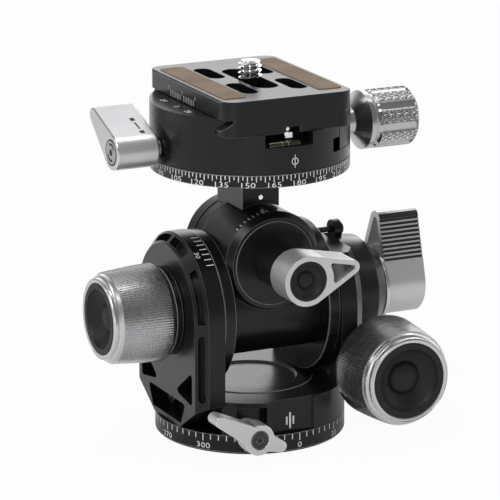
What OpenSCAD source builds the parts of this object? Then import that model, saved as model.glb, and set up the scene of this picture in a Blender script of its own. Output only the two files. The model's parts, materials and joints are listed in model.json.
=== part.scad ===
// Geared tripod head: a rotating yoke on a threaded base, a stage tilted and rolled by worm gears,
// and a rotating dovetail clamp with its camera plate. Millimetres, +Z up, the base stands on Z = 0
// and its tripod thread is on the Z axis. -Y is the front.

/* [Base and yoke] */
// Radius of the base ring that carries the lower degree scale
base_r = 26; // [25.5:0.1:27]
// Height of the base ring
base_ring_h = 5.2; // [4.6:0.1:6]
// Height of the yoke's round foot
foot_h = 9.1; // [8.8:0.1:10]
// Wall radius of the tripod thread in the base
tripod_thread_r = 3.97; // [3.5:0.01:4.2]
// Height of the front-to-back tilt axis above the underside
tilt_axis_z = 36; // [36:0.1:37]
// Distance of each arm's inner face from the middle
arm_in = 17.4; // [17.4:0.1:18]
// Thickness of each arm
arm_t = 7.6; // [7:0.1:8]
// Radius of each arm's round head
arm_head_r = 21.2; // [20.6:0.1:21.6]

/* [Gears] */
// Teeth of both worm wheels
wheel_teeth = 30; // [28:1:32]
// Pitch radius of the tilt worm wheel
tilt_wheel_r = 12; // [11.8:0.1:12.1]
// Pitch radius of the tilt worm
tilt_worm_r = 4.2; // [4:0.1:4.3]
// Pitch radius of the roll worm wheel
roll_wheel_r = 10.5; // [10.2:0.1:10.7]
// Pitch radius of the roll worm
roll_worm_r = 3.5; // [3.4:0.1:3.6]
// Width of both worm wheels
wheel_w = 3.6; // [3:0.1:4]

/* [Tilting stage] */
// Radius of the barrel that lies across the yoke
barrel_r = 15; // [14.6:0.1:15.4]
// Radius of the drum that points to the front
drum_r = 14; // [13.6:0.1:14.2]
// Distance of the drum's front face from the middle
drum_front = 15.6; // [15.2:0.1:16.4]
// Radius of the two end flanges
flange_r = 20.9; // [20.4:0.1:21.1]
// Width of the post that carries the panning clamp
post_w = 11; // [10:0.1:12]

/* [Panning clamp] */
// Height of the panning scale ring's underside
pan_z = 73.8; // [73.6:0.1:76]
// Radius of the panning scale ring and the clamp
pan_r = 27; // [26.5:0.1:28]
// Thickness of the panning scale ring
pan_ring_h = 3.5; // [3.2:0.1:4]
// Height of the clamp's round body
clamp_h = 14.8; // [14.6:0.1:15.6]

/* [Camera plate] */
// Width of the camera plate, across the dovetail
plate_w = 38; // [37.8:0.1:38.6]
// Length of the camera plate, along the dovetail
plate_l = 50; // [46:0.5:56]
// Thickness of the camera plate
plate_t = 9.6; // [9.2:0.1:10.4]
// Thread radius of the camera screw
camera_screw_r = 3.17; // [3:0.01:3.4]
// How far the camera screw stands above the plate
camera_screw_h = 5.2; // [4:0.1:6]

/* [Knobs and levers] */
// Largest radius of the tilt knob, at the right front
tilt_knob_r = 14.1; // [13.5:0.1:14.4]
// Largest radius of the roll knob, at the left
roll_knob_r = 13.4; // [12.8:0.1:14]
// Length of both knobs
knob_l = 17.6; // [16:0.1:19]
// Radius of the clamp knob
clamp_knob_r = 8.1; // [7.6:0.1:8.4]
// Reach of the tilt lock lever from its axis to the middle of its tip
tilt_lever_l = 18; // [16:0.1:19]
// Reach of the roll lock lever from its axis to the middle of its tip
roll_lever_l = 13.4; // [12.6:0.1:13.6]
// Reach of the pan lock lever from its axis to the middle of its tip
pan_lever_l = 14.4; // [13:0.1:15]
// Reach of the base lock lever's long wing from its axis to the middle of its tip
base_lever_l = 13; // [12:0.1:13.4]

/* [Hidden] */
$fn = 72;

// Clearances: a running fit, a gap between moving faces, and the overrun of a cut
fit_gap = 0.03;
run_gap = 0.05;
face_gap = 0.2;
part_gap = 0.3;
cut = 1;
// Sides of a circle inside a hull
hull_fn = 32;

// Heights worked out from the driving sizes
foot_z = base_ring_h + face_gap;
foot_top_z = foot_z + foot_h;
tilt_worm_z = tilt_axis_z - tilt_wheel_r - tilt_worm_r;
roll_axis_z = tilt_axis_z + roll_wheel_r + roll_worm_r;
clamp_z = pan_z + pan_ring_h + face_gap;
clamp_top_z = clamp_z + clamp_h;
arm_out = arm_in + arm_t;

// Base: hub that the yoke turns on, thread insert and retainer
base_edge = 0.6;
hub_r = 10;
web_t = 4;
hub_top_z = foot_z + web_t + face_gap;
insert_r = 6.4;
insert_flange_r = 8;
insert_flange_t = 1.6;
retainer_r = 14.2;
retainer_t = 1.6;
retainer_screw_r = 1;
retainer_screw_head_r = 1.8;
retainer_screw_circle_r = 8.1;
retainer_screw_l = 2.6;
retainer_head_t = 0.9;
retainer_screw_count = 3;

// Yoke foot: well for the retainer, seat for the centre cap, flat and pocket at the front
well_r = retainer_r + part_gap;
cap_r = 17.2;
cap_seat_t = 1;
cap_rise = 0.2;
cap_dish_r = 12.7;
cap_dish_t = 0.6;
index_flat_in = 1.8;
index_flat_y = -base_r + index_flat_in;
index_flat_x = [-6.4, 7.2];
lock_pocket_in = 4.4;
lock_pocket_y = -base_r + lock_pocket_in;
lock_pocket_w = 11.4;
lock_pocket_roof = 1.3;

// Arms: the outer face steps in by a chamfer, with pockets milled in it
arm_chamfer = 2.9;
arm_face_r = arm_head_r - arm_chamfer;
arm_corner_rise = 8.4;
arm_corner_z = foot_z + arm_corner_rise;
arm_toe_half = 8.3;
arm_pocket_wall = 2;
arm_bore_r = 9.6;
truss_edge_r = 0.9;
truss_low_rise = 1.3;
truss_low_z = foot_z + truss_low_rise;
truss_mid_rise = 7.3;
truss_mid_z = foot_z + truss_mid_rise;
truss_low_half = 10;
truss_wide_half = 12;
truss_side_in = 5.6;
truss_side_wall = 1.9;
truss_side_out = arm_face_r - truss_side_wall;
truss_bar_w = 1.6;
truss_side_low_z = truss_mid_z + truss_bar_w;
truss_side_rise = 10.2;
truss_side_high_z = truss_mid_z + truss_side_rise;
slot_w = 2.4;
slot_depth = 2.6;
slot_low_in = [9.6, 2.2];
slot_low_z = [foot_z + slot_low_in[0], tilt_axis_z - slot_low_in[1]];
slot_high_angles = [2, 46];
slot_top_angles = [62, 88];
arm_screw_y = 6.4;
arm_screw_rise = 4.2;
arm_screw_z = foot_z + arm_screw_rise;
arm_screw_r = 1.25;
arm_screw_head_r = 2.3;
arm_screw_head_t = 1.6;
arm_screw_l = 4;

// Bushes and trunnions of the tilt axis
bush_t = 1.1;
trunnion_r = arm_bore_r - bush_t;
trunnion_bore_r = 3;
flange_t = 3.4;
flange_x = arm_in - face_gap - flange_t;
housing_side_x = flange_x - fit_gap;
bush_flange_r = 12.5;
collar_r = 12.1;
collar_t = 2;
shaft_r = 6;
shaft_end_x = 33;

// Gear housing on the right arm
housing_base_r = 15.4;
housing_mid_r = 14.3;
housing_end_r = 10.8;
housing_mid_step = 7.4;
housing_mid_x = arm_out + housing_mid_step;
housing_end_x = 36.4;
housing_web_r = 9.7;
housing_web_x = 34.8;
worm_out = 3.6;
worm_x = arm_out + worm_out;
wheel_pocket_gap = 0.4;
worm_block_r = 7;
worm_block_in = [1.5, 6.2];
worm_block_y = [worm_block_in[0] - arm_head_r, arm_head_r - worm_block_in[1]];
worm_bush_l = 4;
worm_shaft_r = 2.2;
housing_screw_r = 0.8;
housing_screw_head_r = 1.5;
housing_screw_l = 5;
housing_head_t = 1;
housing_screw_angles = [-14, 38, 88];
housing_ear_r = 2.6;
housing_ear_t = 2.2;
housing_ear_circle_r = 16.8;

// Worm and wheel teeth
tooth_h_shares = [0.9, 1.05];
tooth_w_shares = [0.16, 0.36];
thread_w_shares = [0.36, 0.14];
thread_steps = 24;
worm_turns = 5;
thread_bite = 0.2;
roll_worm_room_r = roll_worm_r + 2 * roll_wheel_r / wheel_teeth * tooth_h_shares[0] + wheel_pocket_gap;
tilt_worm_room_r = tilt_worm_r + 2 * tilt_wheel_r / wheel_teeth * tooth_h_shares[0] + wheel_pocket_gap;

// Tilting stage
flat_drop = 11.8;
groove_y = [3, 9.1];
rear_wall_r = 13.4;
rear_wall_y = 13;
drum_edge = 1.6;
bracket_r = 13.2;
bracket_gap = 0.15;
bracket_cone_in = 2.5;
bracket_cone_t = 1.6;
roll_shaft_r = 4;
roll_bush_t = 1.4;
brake_r = 9;
brake_t = 1.2;
brake_room = 1.6;
front_cap_t = 2;
roll_worm_bush_l = 4;
roll_worm_bush_x = 8;
roll_worm_end_x = 11.6;
front_cap_r = drum_r - drum_edge;
flange_screw_r = 1;
flange_screw_head_r = 1.8;
flange_screw_l = 5;
flange_head_t = 0.9;
flange_screw_circle_r = 12;
flange_screw_angles = [200, 340, 110];

// Knobs: rim, dished cap and button, with the sizes of both knobs
knob_taper = 1;
knob_rim_t = 2.4;
knob_rim_in = 1.6;
knob_cap_in = 2.7;
knob_cap_t = 4.6;
knob_dish = 3.4;
knob_button_share = 0.42;
knob_button_rise = 1.4;
tilt_knob_gap = 0.5;
tilt_knob_y = -arm_head_r - tilt_knob_gap;
roll_knob_x = -(arm_out + face_gap + collar_t + part_gap);

// Roll lock lever
roll_lever_in_y = 26.6;
roll_lever_out_y = 35.6;
roll_lever_tube_r = 6;
roll_lever_hub_r = 6.8;
roll_lever_tip_r = 1.9;
roll_lever_angle = 10;
roll_cap_r = 5.4;
roll_cap_t = 2.6;
lever_wall = 1.3;
rib_r = 0.35;
stud_r = 2.4;

// Tilt lock lever
tilt_lever_x = [37.7, 49.7];
tilt_lever_hub_r = 8.9;
tilt_lever_tip_r = 2.9;
tilt_lever_angle = 94;
tilt_lever_wall = 1.7;
tilt_ring_r = 10.8;
tilt_rib_count = 10;
tilt_rib_pitch = 1.2;

// Base lock lever
base_lock_x = -13.3;
base_lock_z = 7.6;
base_lever_out = [8, 2.6];
base_lever_y = [-base_r - base_lever_out[0], -base_r - base_lever_out[1]];
base_hub_r = 4.3;
base_wing_r = 1.6;
base_wing_angle = 150;
base_short_wing_l = 6.9;
base_short_wing_angle = -23;
base_stud_r = 1.5;
base_stud_in = -13.4;
base_collar_r = 3.5;
base_collar_in = 1.7;
base_collar_y = -base_r + base_collar_in;
base_neck_r = 2.1;
base_shoe_x = [-15.6, -5.6];
base_shoe_y = [-13.1, -7.6];
base_shoe_half_h = 1.3;
base_screw_r = 2.55;
base_screw_t = 2;
hex_r = 0.9;

// Post and panning parts
post_front_y = -6.8;
post_rear_y = 8.9;
post_arc_gap = 0.3;
dot_r = 0.5;
dot_depth = 0.3;
dot_rise = 1.4;
pan_hub_r = 9;
pan_hub_h = 6.2;
pan_web_t = pan_hub_h - face_gap;
pan_retainer_r = 12.6;
pan_retainer_t = 1.6;
pan_well_r = pan_retainer_r + part_gap;
pan_screw_r = 1.5;
pan_screw_head_r = 2.8;
pan_screw_head_t = 1.8;
pan_screw_deep = 8.5;
pan_screw_y = [-3.4, 4.8];

// Clamp and dovetail
plate_drop = 4.4;
plate_floor_z = clamp_top_z - plate_drop;
dovetail_in = 3;
dovetail_lip = 1.5;
dovetail_gap = 0.15;
slab_gap = 0.2;
jaw_w = 10.9;
jaw_x = pan_r - jaw_w;
jaw_gap = 2.9;
jaw_floor_z = clamp_z + 3.3;
jaw_slot_top_z = clamp_z + 7.1;
clamp_screw_z = clamp_z + 5.3;
clamp_screw_r = 2.6;
clamp_screw_in = 13.4;
jaw_travel = 3;
jaw_pin_r = 1.3;
jaw_pin_y = 10.5;
jaw_pin_in = 13.6;
jaw_pin_l = 9;
window_x = [-7.9, 5.8];
window_z = clamp_z + 7;
window_in = 7.6;
vial_r = 1;
vial_l = 9;
vial_y = -25;
vial_x = -6.6;
vial_rise = 0.4;
pin_x = 0.45;
pin_y = -21.7;
pin_r = 0.9;
pin_head_r = 2;
pin_head_h = 1.8;
pin_deep = 5;
pin_travel = 1.2;
pin_rise = 1;
pan_lock_z = clamp_z + 3.8;
pan_lever_x = [-40.7, -28.7];
pan_lever_hub_r = 4.85;
pan_lever_tip_r = 2.1;
pan_lever_angle = 32;
pan_stud_r = 1.6;
pan_collar_r = 2.8;
pan_cap_r = 3.4;
pan_cap_t = 0.8;
shoe_t = 2.4;
shoe_w = 5;

// Clamp knob
clamp_neck_r = 3.9;
clamp_cone_x = 31;
clamp_flange_x = 34;
clamp_flange_t = 1;
clamp_knob_end_x = 47.8;
clamp_knob_edge = 0.8;
clamp_flute_r = 2.4;
clamp_flute_depth = 0.55;
clamp_flute_count = 8;
clamp_flute_phase = 35.5;
clamp_groove_t = 0.8;
clamp_groove_in = 0.9;

// Camera plate
plate_z = plate_floor_z;
plate_top_z = plate_z + plate_t;
plate_corner_r = 4.3;
plate_edge = 0.5;
slot_half_w = 2.4;
slot_x = 7.2;
side_slot_y = [3.4, 17];
middle_slot_half = 13;
middle_well_r = 6.8;
middle_well_t = 4.6;
pin_groove_w = 4.4;
pin_groove_t = 1.6;
pin_groove_l = 16;
pad_x = [10.4, 17.4];
pad_half = 20.8;
pad_t = 0.8;
pad_rise = 0.35;
pad_corner_r = 1.6;
pad_rib_r = 0.22;
pad_rib_count = 6;
screw_neck_r = 2.5;
screw_edge = 0.4;
screw_head_r = 6.2;
screw_head_t = 2.2;
screw_slot_w = 1.4;
screw_slot_t = 1;

// Anodised black, satin aluminium, steel, bronze and rubber
black = [0.07, 0.07, 0.075];
silver = [0.75, 0.75, 0.77];
steel = [0.55, 0.55, 0.57];
bronze = [0.72, 0.53, 0.28];
rubber = [0.05, 0.05, 0.05];
vial_green = [0.6, 0.75, 0.3];
cork = [0.55, 0.45, 0.37];

// Turns a shape's +Z to +X, to +Y, or to -Y
module to_x() { rotate([90, 0, 90]) children(); }
module to_y() { rotate([-90, 0, 0]) children(); }
module to_front() { rotate([90, 0, 0]) children(); }

// Carries a shape to the tilt axis or the roll axis
module at_tilt() { translate([0, 0, tilt_axis_z]) children(); }
module at_roll() { translate([0, 0, roll_axis_z]) children(); }

// A tube that stands on Z = 0
module tube(r_out, r_in, h) {
    difference() {
        cylinder(r = r_out, h = h);
        translate([0, 0, -cut]) cylinder(r = r_in, h = h + 2 * cut);
    }
}

// A socket-head screw with its head's underside on Z = 0 and its shank below
module cap_screw(r, l, head_r, head_t, socket_r) {
    difference() {
        union() {
            translate([0, 0, -l]) cylinder(r = r, h = l);
            cylinder(r = head_r, h = head_t);
        }
        translate([0, 0, head_t / 2]) cylinder(r = socket_r, h = head_t, $fn = 6);
    }
}

// A right-handed thread ridge about +Z, centred on Z = 0, with its middle on the phase angle
module thread_ridge(root_r, crest_r, pitch, turns, root_w, crest_w, phase) {
    steps = round(thread_steps * turns);
    section = [[root_r, -root_w / 2], [crest_r, -crest_w / 2], [crest_r, crest_w / 2], [root_r, root_w / 2]];
    points = [for (i = [0:steps]) let (turn = turns * (i / steps - 0.5), a = phase + 360 * turn)
        for (p = section) [p[0] * cos(a), p[0] * sin(a), p[1] + pitch * turn]];
    sides = [for (i = [0:steps - 1], k = [0:3]) let (a = 4 * i + k, b = 4 * i + (k + 1) % 4)
        each [[a, b, a + 4], [b, b + 4, a + 4]]];
    ends = [[0, 2, 1], [0, 3, 2], [4 * steps, 4 * steps + 1, 4 * steps + 2], [4 * steps, 4 * steps + 2, 4 * steps + 3]];
    polyhedron(points = points, faces = concat(sides, ends), convexity = 10);
}

// A worm along +Z with its thread centred on Z = 0
module worm(pitch_r, wheel_r, phase) {
    axial_pitch = 2 * PI * wheel_r / wheel_teeth;
    size = wheel_r / wheel_teeth * 2;
    root_r = pitch_r - size * tooth_h_shares[1];
    cylinder(r = root_r, h = axial_pitch * worm_turns + 2 * size, center = true);
    thread_ridge(root_r - thread_bite, pitch_r + size * tooth_h_shares[0], axial_pitch, worm_turns,
        axial_pitch * thread_w_shares[0], axial_pitch * thread_w_shares[1], phase);
}

// A worm wheel on Z = 0 with a tooth on +X
module worm_wheel(wheel_r, bore_r) {
    size = wheel_r / wheel_teeth * 2;
    root_r = wheel_r - size * tooth_h_shares[1];
    tip_r = wheel_r + size * tooth_h_shares[0];
    step = 360 / wheel_teeth;
    half_root = step * tooth_w_shares[1] * 0.72;
    half_tip = step * tooth_w_shares[0] * 0.72;
    outline = [for (i = [0:wheel_teeth - 1], p = [[root_r, -half_root], [tip_r, -half_tip], [tip_r, half_tip], [root_r, half_root]])
        p[0] * [cos(step * i + p[1]), sin(step * i + p[1])]];
    difference() {
        linear_extrude(height = wheel_w, center = true) polygon(outline);
        cylinder(r = bore_r, h = wheel_w + 2 * cut, center = true);
    }
}

// Base

module base_ring() {
    color(black) difference() {
        rotate_extrude() polygon([[insert_r, insert_flange_t], [insert_flange_r, insert_flange_t], [insert_flange_r, 0],
            [base_r - base_edge, 0], [base_r, base_edge], [base_r, base_ring_h], [hub_r, base_ring_h],
            [hub_r, hub_top_z], [insert_r, hub_top_z]]);
        for (i = [0:retainer_screw_count - 1]) rotate([0, 0, 360 * i / retainer_screw_count])
            translate([retainer_screw_circle_r, 0, hub_top_z - retainer_screw_l]) cylinder(r = retainer_screw_r + fit_gap, h = retainer_screw_l + cut);
    }
}

module thread_insert() {
    color(steel) difference() {
        union() {
            cylinder(r = insert_flange_r - fit_gap, h = insert_flange_t);
            cylinder(r = insert_r - fit_gap, h = hub_top_z);
        }
        translate([0, 0, -cut]) cylinder(r = tripod_thread_r, h = hub_top_z + 2 * cut);
    }
}

module base_retainer() {
    color(steel) translate([0, 0, hub_top_z]) difference() {
        tube(retainer_r, insert_r, retainer_t);
        for (i = [0:retainer_screw_count - 1]) rotate([0, 0, 360 * i / retainer_screw_count])
            translate([retainer_screw_circle_r, 0, -cut]) cylinder(r = retainer_screw_r + fit_gap, h = retainer_t + 2 * cut);
    }
}

module retainer_screws() {
    color(steel) for (i = [0:retainer_screw_count - 1]) rotate([0, 0, 360 * i / retainer_screw_count])
        translate([retainer_screw_circle_r, 0, hub_top_z + retainer_t])
            cap_screw(retainer_screw_r, retainer_screw_l + retainer_t - part_gap, retainer_screw_head_r, retainer_head_t, retainer_screw_r / 2);
}

// Yoke

module yoke_foot() {
    color(black) difference() {
        intersection() {
            translate([0, 0, foot_z]) cylinder(r = base_r, h = foot_h);
            translate([-arm_in, -base_r, foot_z]) cube([2 * arm_in, 2 * base_r, foot_h]);
        }
        translate([0, 0, foot_z - cut]) cylinder(r = hub_r + run_gap, h = foot_h);
        translate([0, 0, foot_z + web_t]) cylinder(r = well_r, h = foot_h);
        translate([0, 0, foot_top_z - cap_seat_t]) cylinder(r = cap_r + fit_gap, h = cap_seat_t + cut);
        translate([index_flat_x[0], -base_r - cut, foot_z - cut]) cube([index_flat_x[1] - index_flat_x[0], base_r + cut + index_flat_y, foot_h + 2 * cut]);
        translate([index_flat_x[0] - lock_pocket_w, -base_r - cut, foot_z - cut]) cube([lock_pocket_w, base_r + cut + lock_pocket_y, foot_h + cut - lock_pocket_roof]);
        translate([base_lock_x, base_stud_in, base_lock_z]) to_front() cylinder(r = base_stud_r + run_gap, h = base_r);
        translate([base_shoe_x[0], base_stud_in, base_lock_z - base_shoe_half_h]) cube([base_shoe_x[1] - base_shoe_x[0], base_shoe_y[1] - base_stud_in, 2 * base_shoe_half_h]);
        for (side = [-1, 1], y = [-arm_screw_y, arm_screw_y]) translate([side * arm_in, y, arm_screw_z]) rotate([0, side * 90, 0])
            translate([0, 0, -arm_screw_l]) cylinder(r = arm_screw_r + fit_gap, h = arm_screw_l + cut);
    }
}

module centre_cap() {
    color(black) translate([0, 0, foot_top_z - cap_seat_t]) difference() {
        cylinder(r = cap_r, h = cap_seat_t + cap_rise);
        translate([0, 0, cap_seat_t + cap_rise - cap_dish_t]) cylinder(r = cap_dish_r, h = cap_dish_t + cut);
    }
}

// Solid of an arm, with its inner face on X = arm_in and its outer face towards +X
module arm_solid() {
    step_x = arm_out - arm_chamfer;
    translate([arm_in, 0, tilt_axis_z]) to_x() cylinder(r = arm_head_r, h = arm_t - arm_chamfer);
    translate([step_x, 0, tilt_axis_z]) to_x() cylinder(r1 = arm_head_r, r2 = arm_face_r, h = arm_chamfer);
    intersection() {
        translate([arm_in, 0, 0]) to_x() linear_extrude(height = arm_t) polygon([[-arm_head_r, tilt_axis_z], [-arm_head_r, arm_corner_z],
            [-arm_toe_half, foot_z], [arm_toe_half, foot_z], [arm_head_r, arm_corner_z], [arm_head_r, tilt_axis_z]]);
        linear_extrude(height = tilt_axis_z) polygon([[arm_in, -arm_head_r], [step_x, -arm_head_r], [arm_out, -arm_face_r],
            [arm_out, arm_face_r], [step_x, arm_head_r], [arm_in, arm_head_r]]);
    }
}

// Rounded pocket outline through four or three corner points
module pocket(points) {
    offset(r = truss_edge_r) offset(delta = -truss_edge_r) polygon(points);
}

module truss_pockets() {
    translate([arm_in + arm_pocket_wall, 0, 0]) to_x() linear_extrude(height = arm_t) {
        pocket([[-truss_low_half + truss_edge_r, truss_low_z], [truss_low_half - truss_edge_r, truss_low_z],
            [truss_wide_half, truss_mid_z], [-truss_wide_half, truss_mid_z]]);
        for (side = [-1, 1]) scale([side, 1]) pocket([[truss_side_in, truss_side_low_z + truss_edge_r], [truss_side_out, truss_side_low_z - truss_edge_r],
            [truss_side_out, truss_side_high_z]]);
    }
}

// Part of a curved slot, round Z from one angle to another
module slot_band(reach, angle_0, angle_1) {
    rotate([0, 0, angle_0]) rotate_extrude(angle = angle_1 - angle_0) translate([reach, 0]) rotate(45) square([2 * slot_depth, slot_w], center = true);
}

// Slots milled in the front and rear edge chamfers of the left arm
module edge_slots() {
    mid = arm_out - arm_chamfer / 2;
    reach = arm_head_r - arm_chamfer / 2;
    for (side = [-1, 1]) translate([mid, side * reach, 0]) rotate([0, 0, side * 45]) {
        translate([-slot_depth, -slot_w / 2, slot_low_z[0] + slot_w / 2]) cube([2 * slot_depth, slot_w, slot_low_z[1] - slot_low_z[0] - slot_w]);
        for (z = [slot_low_z[0] + slot_w / 2, slot_low_z[1] - slot_w / 2]) translate([-slot_depth, 0, z]) to_x() cylinder(r = slot_w / 2, h = 2 * slot_depth);
    }
    for (angles = [slot_high_angles, slot_top_angles], mirrored = [0, 180]) at_tilt() rotate([mirrored, 0, 0]) scale([1, 1, mirrored == 0 ? 1 : -1])
        to_x() translate([0, 0, mid]) slot_band(reach, angles[0], angles[1]);
}

module arm_screw_holes() {
    for (y = [-arm_screw_y, arm_screw_y]) translate([arm_in - cut, y, arm_screw_z]) to_x() cylinder(r = arm_screw_r + fit_gap, h = arm_t);
}

module left_arm() {
    color(black) mirror([1, 0, 0]) difference() {
        arm_solid();
        translate([arm_in - cut, 0, tilt_axis_z]) to_x() cylinder(r = arm_bore_r, h = arm_t + 2 * cut);
        truss_pockets();
        edge_slots();
        arm_screw_holes();
    }
}

module right_arm() {
    color(black) difference() {
        union() {
            intersection() {
                arm_solid();
                translate([arm_in, -arm_head_r, foot_top_z]) cube([arm_t, 2 * arm_head_r, tilt_axis_z]);
            }
            intersection() {
                translate([0, 0, foot_z]) cylinder(r = base_r, h = foot_h);
                translate([arm_in, -base_r, foot_z]) cube([base_r, 2 * base_r, foot_h]);
            }
        }
        translate([arm_in - cut, 0, tilt_axis_z]) to_x() cylinder(r = arm_bore_r, h = arm_t + 2 * cut);
        arm_screw_holes();
        for (y = [-arm_screw_y, arm_screw_y]) translate([arm_in + arm_pocket_wall, y, arm_screw_z]) to_x() cylinder(r = arm_screw_head_r + part_gap, h = arm_t);
        translate([worm_x, worm_block_y[0], tilt_worm_z]) to_y() cylinder(r = tilt_worm_room_r, h = worm_block_y[1] - worm_block_y[0]);
        for (a = housing_screw_angles) at_tilt() rotate([a, 0, 0]) translate([arm_out - housing_screw_l, housing_ear_circle_r, 0])
            to_x() cylinder(r = housing_screw_r + fit_gap, h = housing_screw_l + cut);
    }
}

module arm_screws() {
    color(steel) for (side = [-1, 1], y = [-arm_screw_y, arm_screw_y]) translate([side * (arm_in + arm_pocket_wall), y, arm_screw_z])
        rotate([0, side * 90, 0]) cap_screw(arm_screw_r, arm_screw_l + arm_pocket_wall - part_gap, arm_screw_head_r, arm_screw_head_t, arm_screw_r / 2);
}

module left_bush() {
    color(bronze) translate([-arm_out, 0, tilt_axis_z]) to_x() tube(arm_bore_r - fit_gap, trunnion_r + run_gap, arm_t);
}

module right_bush() {
    color(bronze) translate([arm_in, 0, tilt_axis_z]) to_x() tube(arm_bore_r - fit_gap, shaft_r + run_gap, arm_t);
}

// Outer form of the gear housing: a stepped neck on the tilt axis and a block round the tilt worm
module housing_form() {
    translate([arm_out, 0, tilt_axis_z]) to_x() cylinder(r1 = housing_base_r, r2 = housing_mid_r, h = housing_mid_x - arm_out);
    translate([housing_mid_x, 0, tilt_axis_z]) to_x() cylinder(r1 = housing_mid_r, r2 = housing_end_r, h = housing_end_x - housing_mid_x);
    difference() {
        translate([worm_x, worm_block_y[0], tilt_worm_z]) to_y() cylinder(r = worm_block_r, h = worm_block_y[1] - worm_block_y[0]);
        translate([arm_out - 2 * worm_block_r, worm_block_y[0] - cut, 0]) cube([2 * worm_block_r, worm_block_y[1] - worm_block_y[0] + 2 * cut, tilt_axis_z]);
        translate([0, 0, foot_z]) cylinder(r = base_r + face_gap, h = foot_h + face_gap);
    }
    translate([arm_out, -housing_web_r, tilt_worm_z]) cube([housing_web_x - arm_out, 2 * housing_web_r, tilt_axis_z - tilt_worm_z]);
    for (a = housing_screw_angles) at_tilt() rotate([a, 0, 0]) translate([arm_out, housing_ear_circle_r, 0])
        to_x() cylinder(r = housing_ear_r, h = housing_ear_t);
}

module gear_housing() {
    tip_r = tilt_wheel_r * (1 + 2 * tooth_h_shares[0] / wheel_teeth);
    color(black) difference() {
        housing_form();
        translate([arm_out - cut, 0, tilt_axis_z]) to_x() cylinder(r = tip_r + wheel_pocket_gap, h = cut + worm_x - arm_out + wheel_w / 2 + wheel_pocket_gap);
        translate([arm_out, 0, tilt_axis_z]) to_x() cylinder(r = shaft_r + run_gap, h = shaft_end_x + part_gap - arm_out);
        translate([arm_out, 0, tilt_axis_z]) to_x() cylinder(r = stud_r + run_gap, h = housing_end_x + cut - arm_out);
        translate([worm_x, worm_block_y[0] - cut, tilt_worm_z]) to_y() cylinder(r = tilt_worm_room_r, h = worm_block_y[1] - worm_block_y[0] + 2 * cut);
        for (a = housing_screw_angles) at_tilt() rotate([a, 0, 0]) translate([arm_out - cut, housing_ear_circle_r, 0])
            to_x() cylinder(r = housing_screw_r + fit_gap, h = housing_ear_t + 2 * cut);
    }
}

module housing_screws() {
    color(steel) for (a = housing_screw_angles) at_tilt() rotate([a, 0, 0]) translate([arm_out + housing_ear_t, housing_ear_circle_r, 0])
        to_x() cap_screw(housing_screw_r, housing_screw_l + housing_ear_t - part_gap, housing_screw_head_r, housing_head_t, housing_screw_r / 2);
}

module worm_bushes() {
    color(bronze) for (y = [worm_block_y[0], worm_block_y[1] - worm_bush_l]) translate([worm_x, y, tilt_worm_z])
        to_y() tube(tilt_worm_room_r - fit_gap, worm_shaft_r + run_gap, worm_bush_l);
}

// Base lock

module base_lock_stud() {
    color(steel) translate([base_lock_x, base_stud_in, base_lock_z]) to_front() cylinder(r = base_stud_r, h = base_stud_in - base_lever_y[1]);
}

// One wing of the base lock lever, drawn from the hub to its tip
module wing(l, angle) {
    hull() {
        circle(r = base_hub_r * 0.7, $fn = hull_fn);
        rotate(angle) translate([l, 0]) circle(r = base_wing_r, $fn = hull_fn);
    }
}

module base_lock_lever() {
    color(silver) difference() {
        union() {
            translate([base_lock_x, base_lever_y[1], base_lock_z]) to_front() linear_extrude(height = base_lever_y[1] - base_lever_y[0]) {
                wing(base_lever_l, base_wing_angle);
                wing(base_short_wing_l, base_short_wing_angle);
            }
            translate([base_lock_x, base_lever_y[1], base_lock_z]) to_front() cylinder(r = base_hub_r, h = base_lever_y[1] - base_lever_y[0]);
            translate([base_lock_x, base_collar_y, base_lock_z]) to_front() cylinder(r = base_collar_r, h = base_collar_y - base_lever_y[1]);
            translate([base_lock_x, lock_pocket_y - part_gap, base_lock_z]) to_front() cylinder(r = base_neck_r, h = lock_pocket_y - part_gap - base_lever_y[1]);
        }
        translate([base_lock_x, lock_pocket_y + cut, base_lock_z]) to_front() cylinder(r = base_stud_r + fit_gap, h = lock_pocket_y + cut - base_lever_y[1]);
        translate([base_lock_x, base_lever_y[0] + base_screw_t, base_lock_z]) to_front() cylinder(r = base_screw_r + fit_gap, h = base_screw_t + cut);
    }
}

module base_lock_screw() {
    color(black) translate([base_lock_x, base_lever_y[0] + base_screw_t, base_lock_z]) to_front() difference() {
        cylinder(r = base_screw_r, h = base_screw_t - fit_gap);
        translate([0, 0, base_screw_t / 2]) cylinder(r = hex_r, h = base_screw_t, $fn = 6);
    }
}

module base_brake_shoe() {
    color(bronze) difference() {
        translate([base_shoe_x[0], base_shoe_y[0], base_lock_z - base_shoe_half_h]) cube([base_shoe_x[1] - base_shoe_x[0], base_shoe_y[1] - base_shoe_y[0], 2 * base_shoe_half_h]);
        translate([0, 0, foot_z]) cylinder(r = hub_r + part_gap, h = foot_h);
    }
}

// Tilting stage

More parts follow.
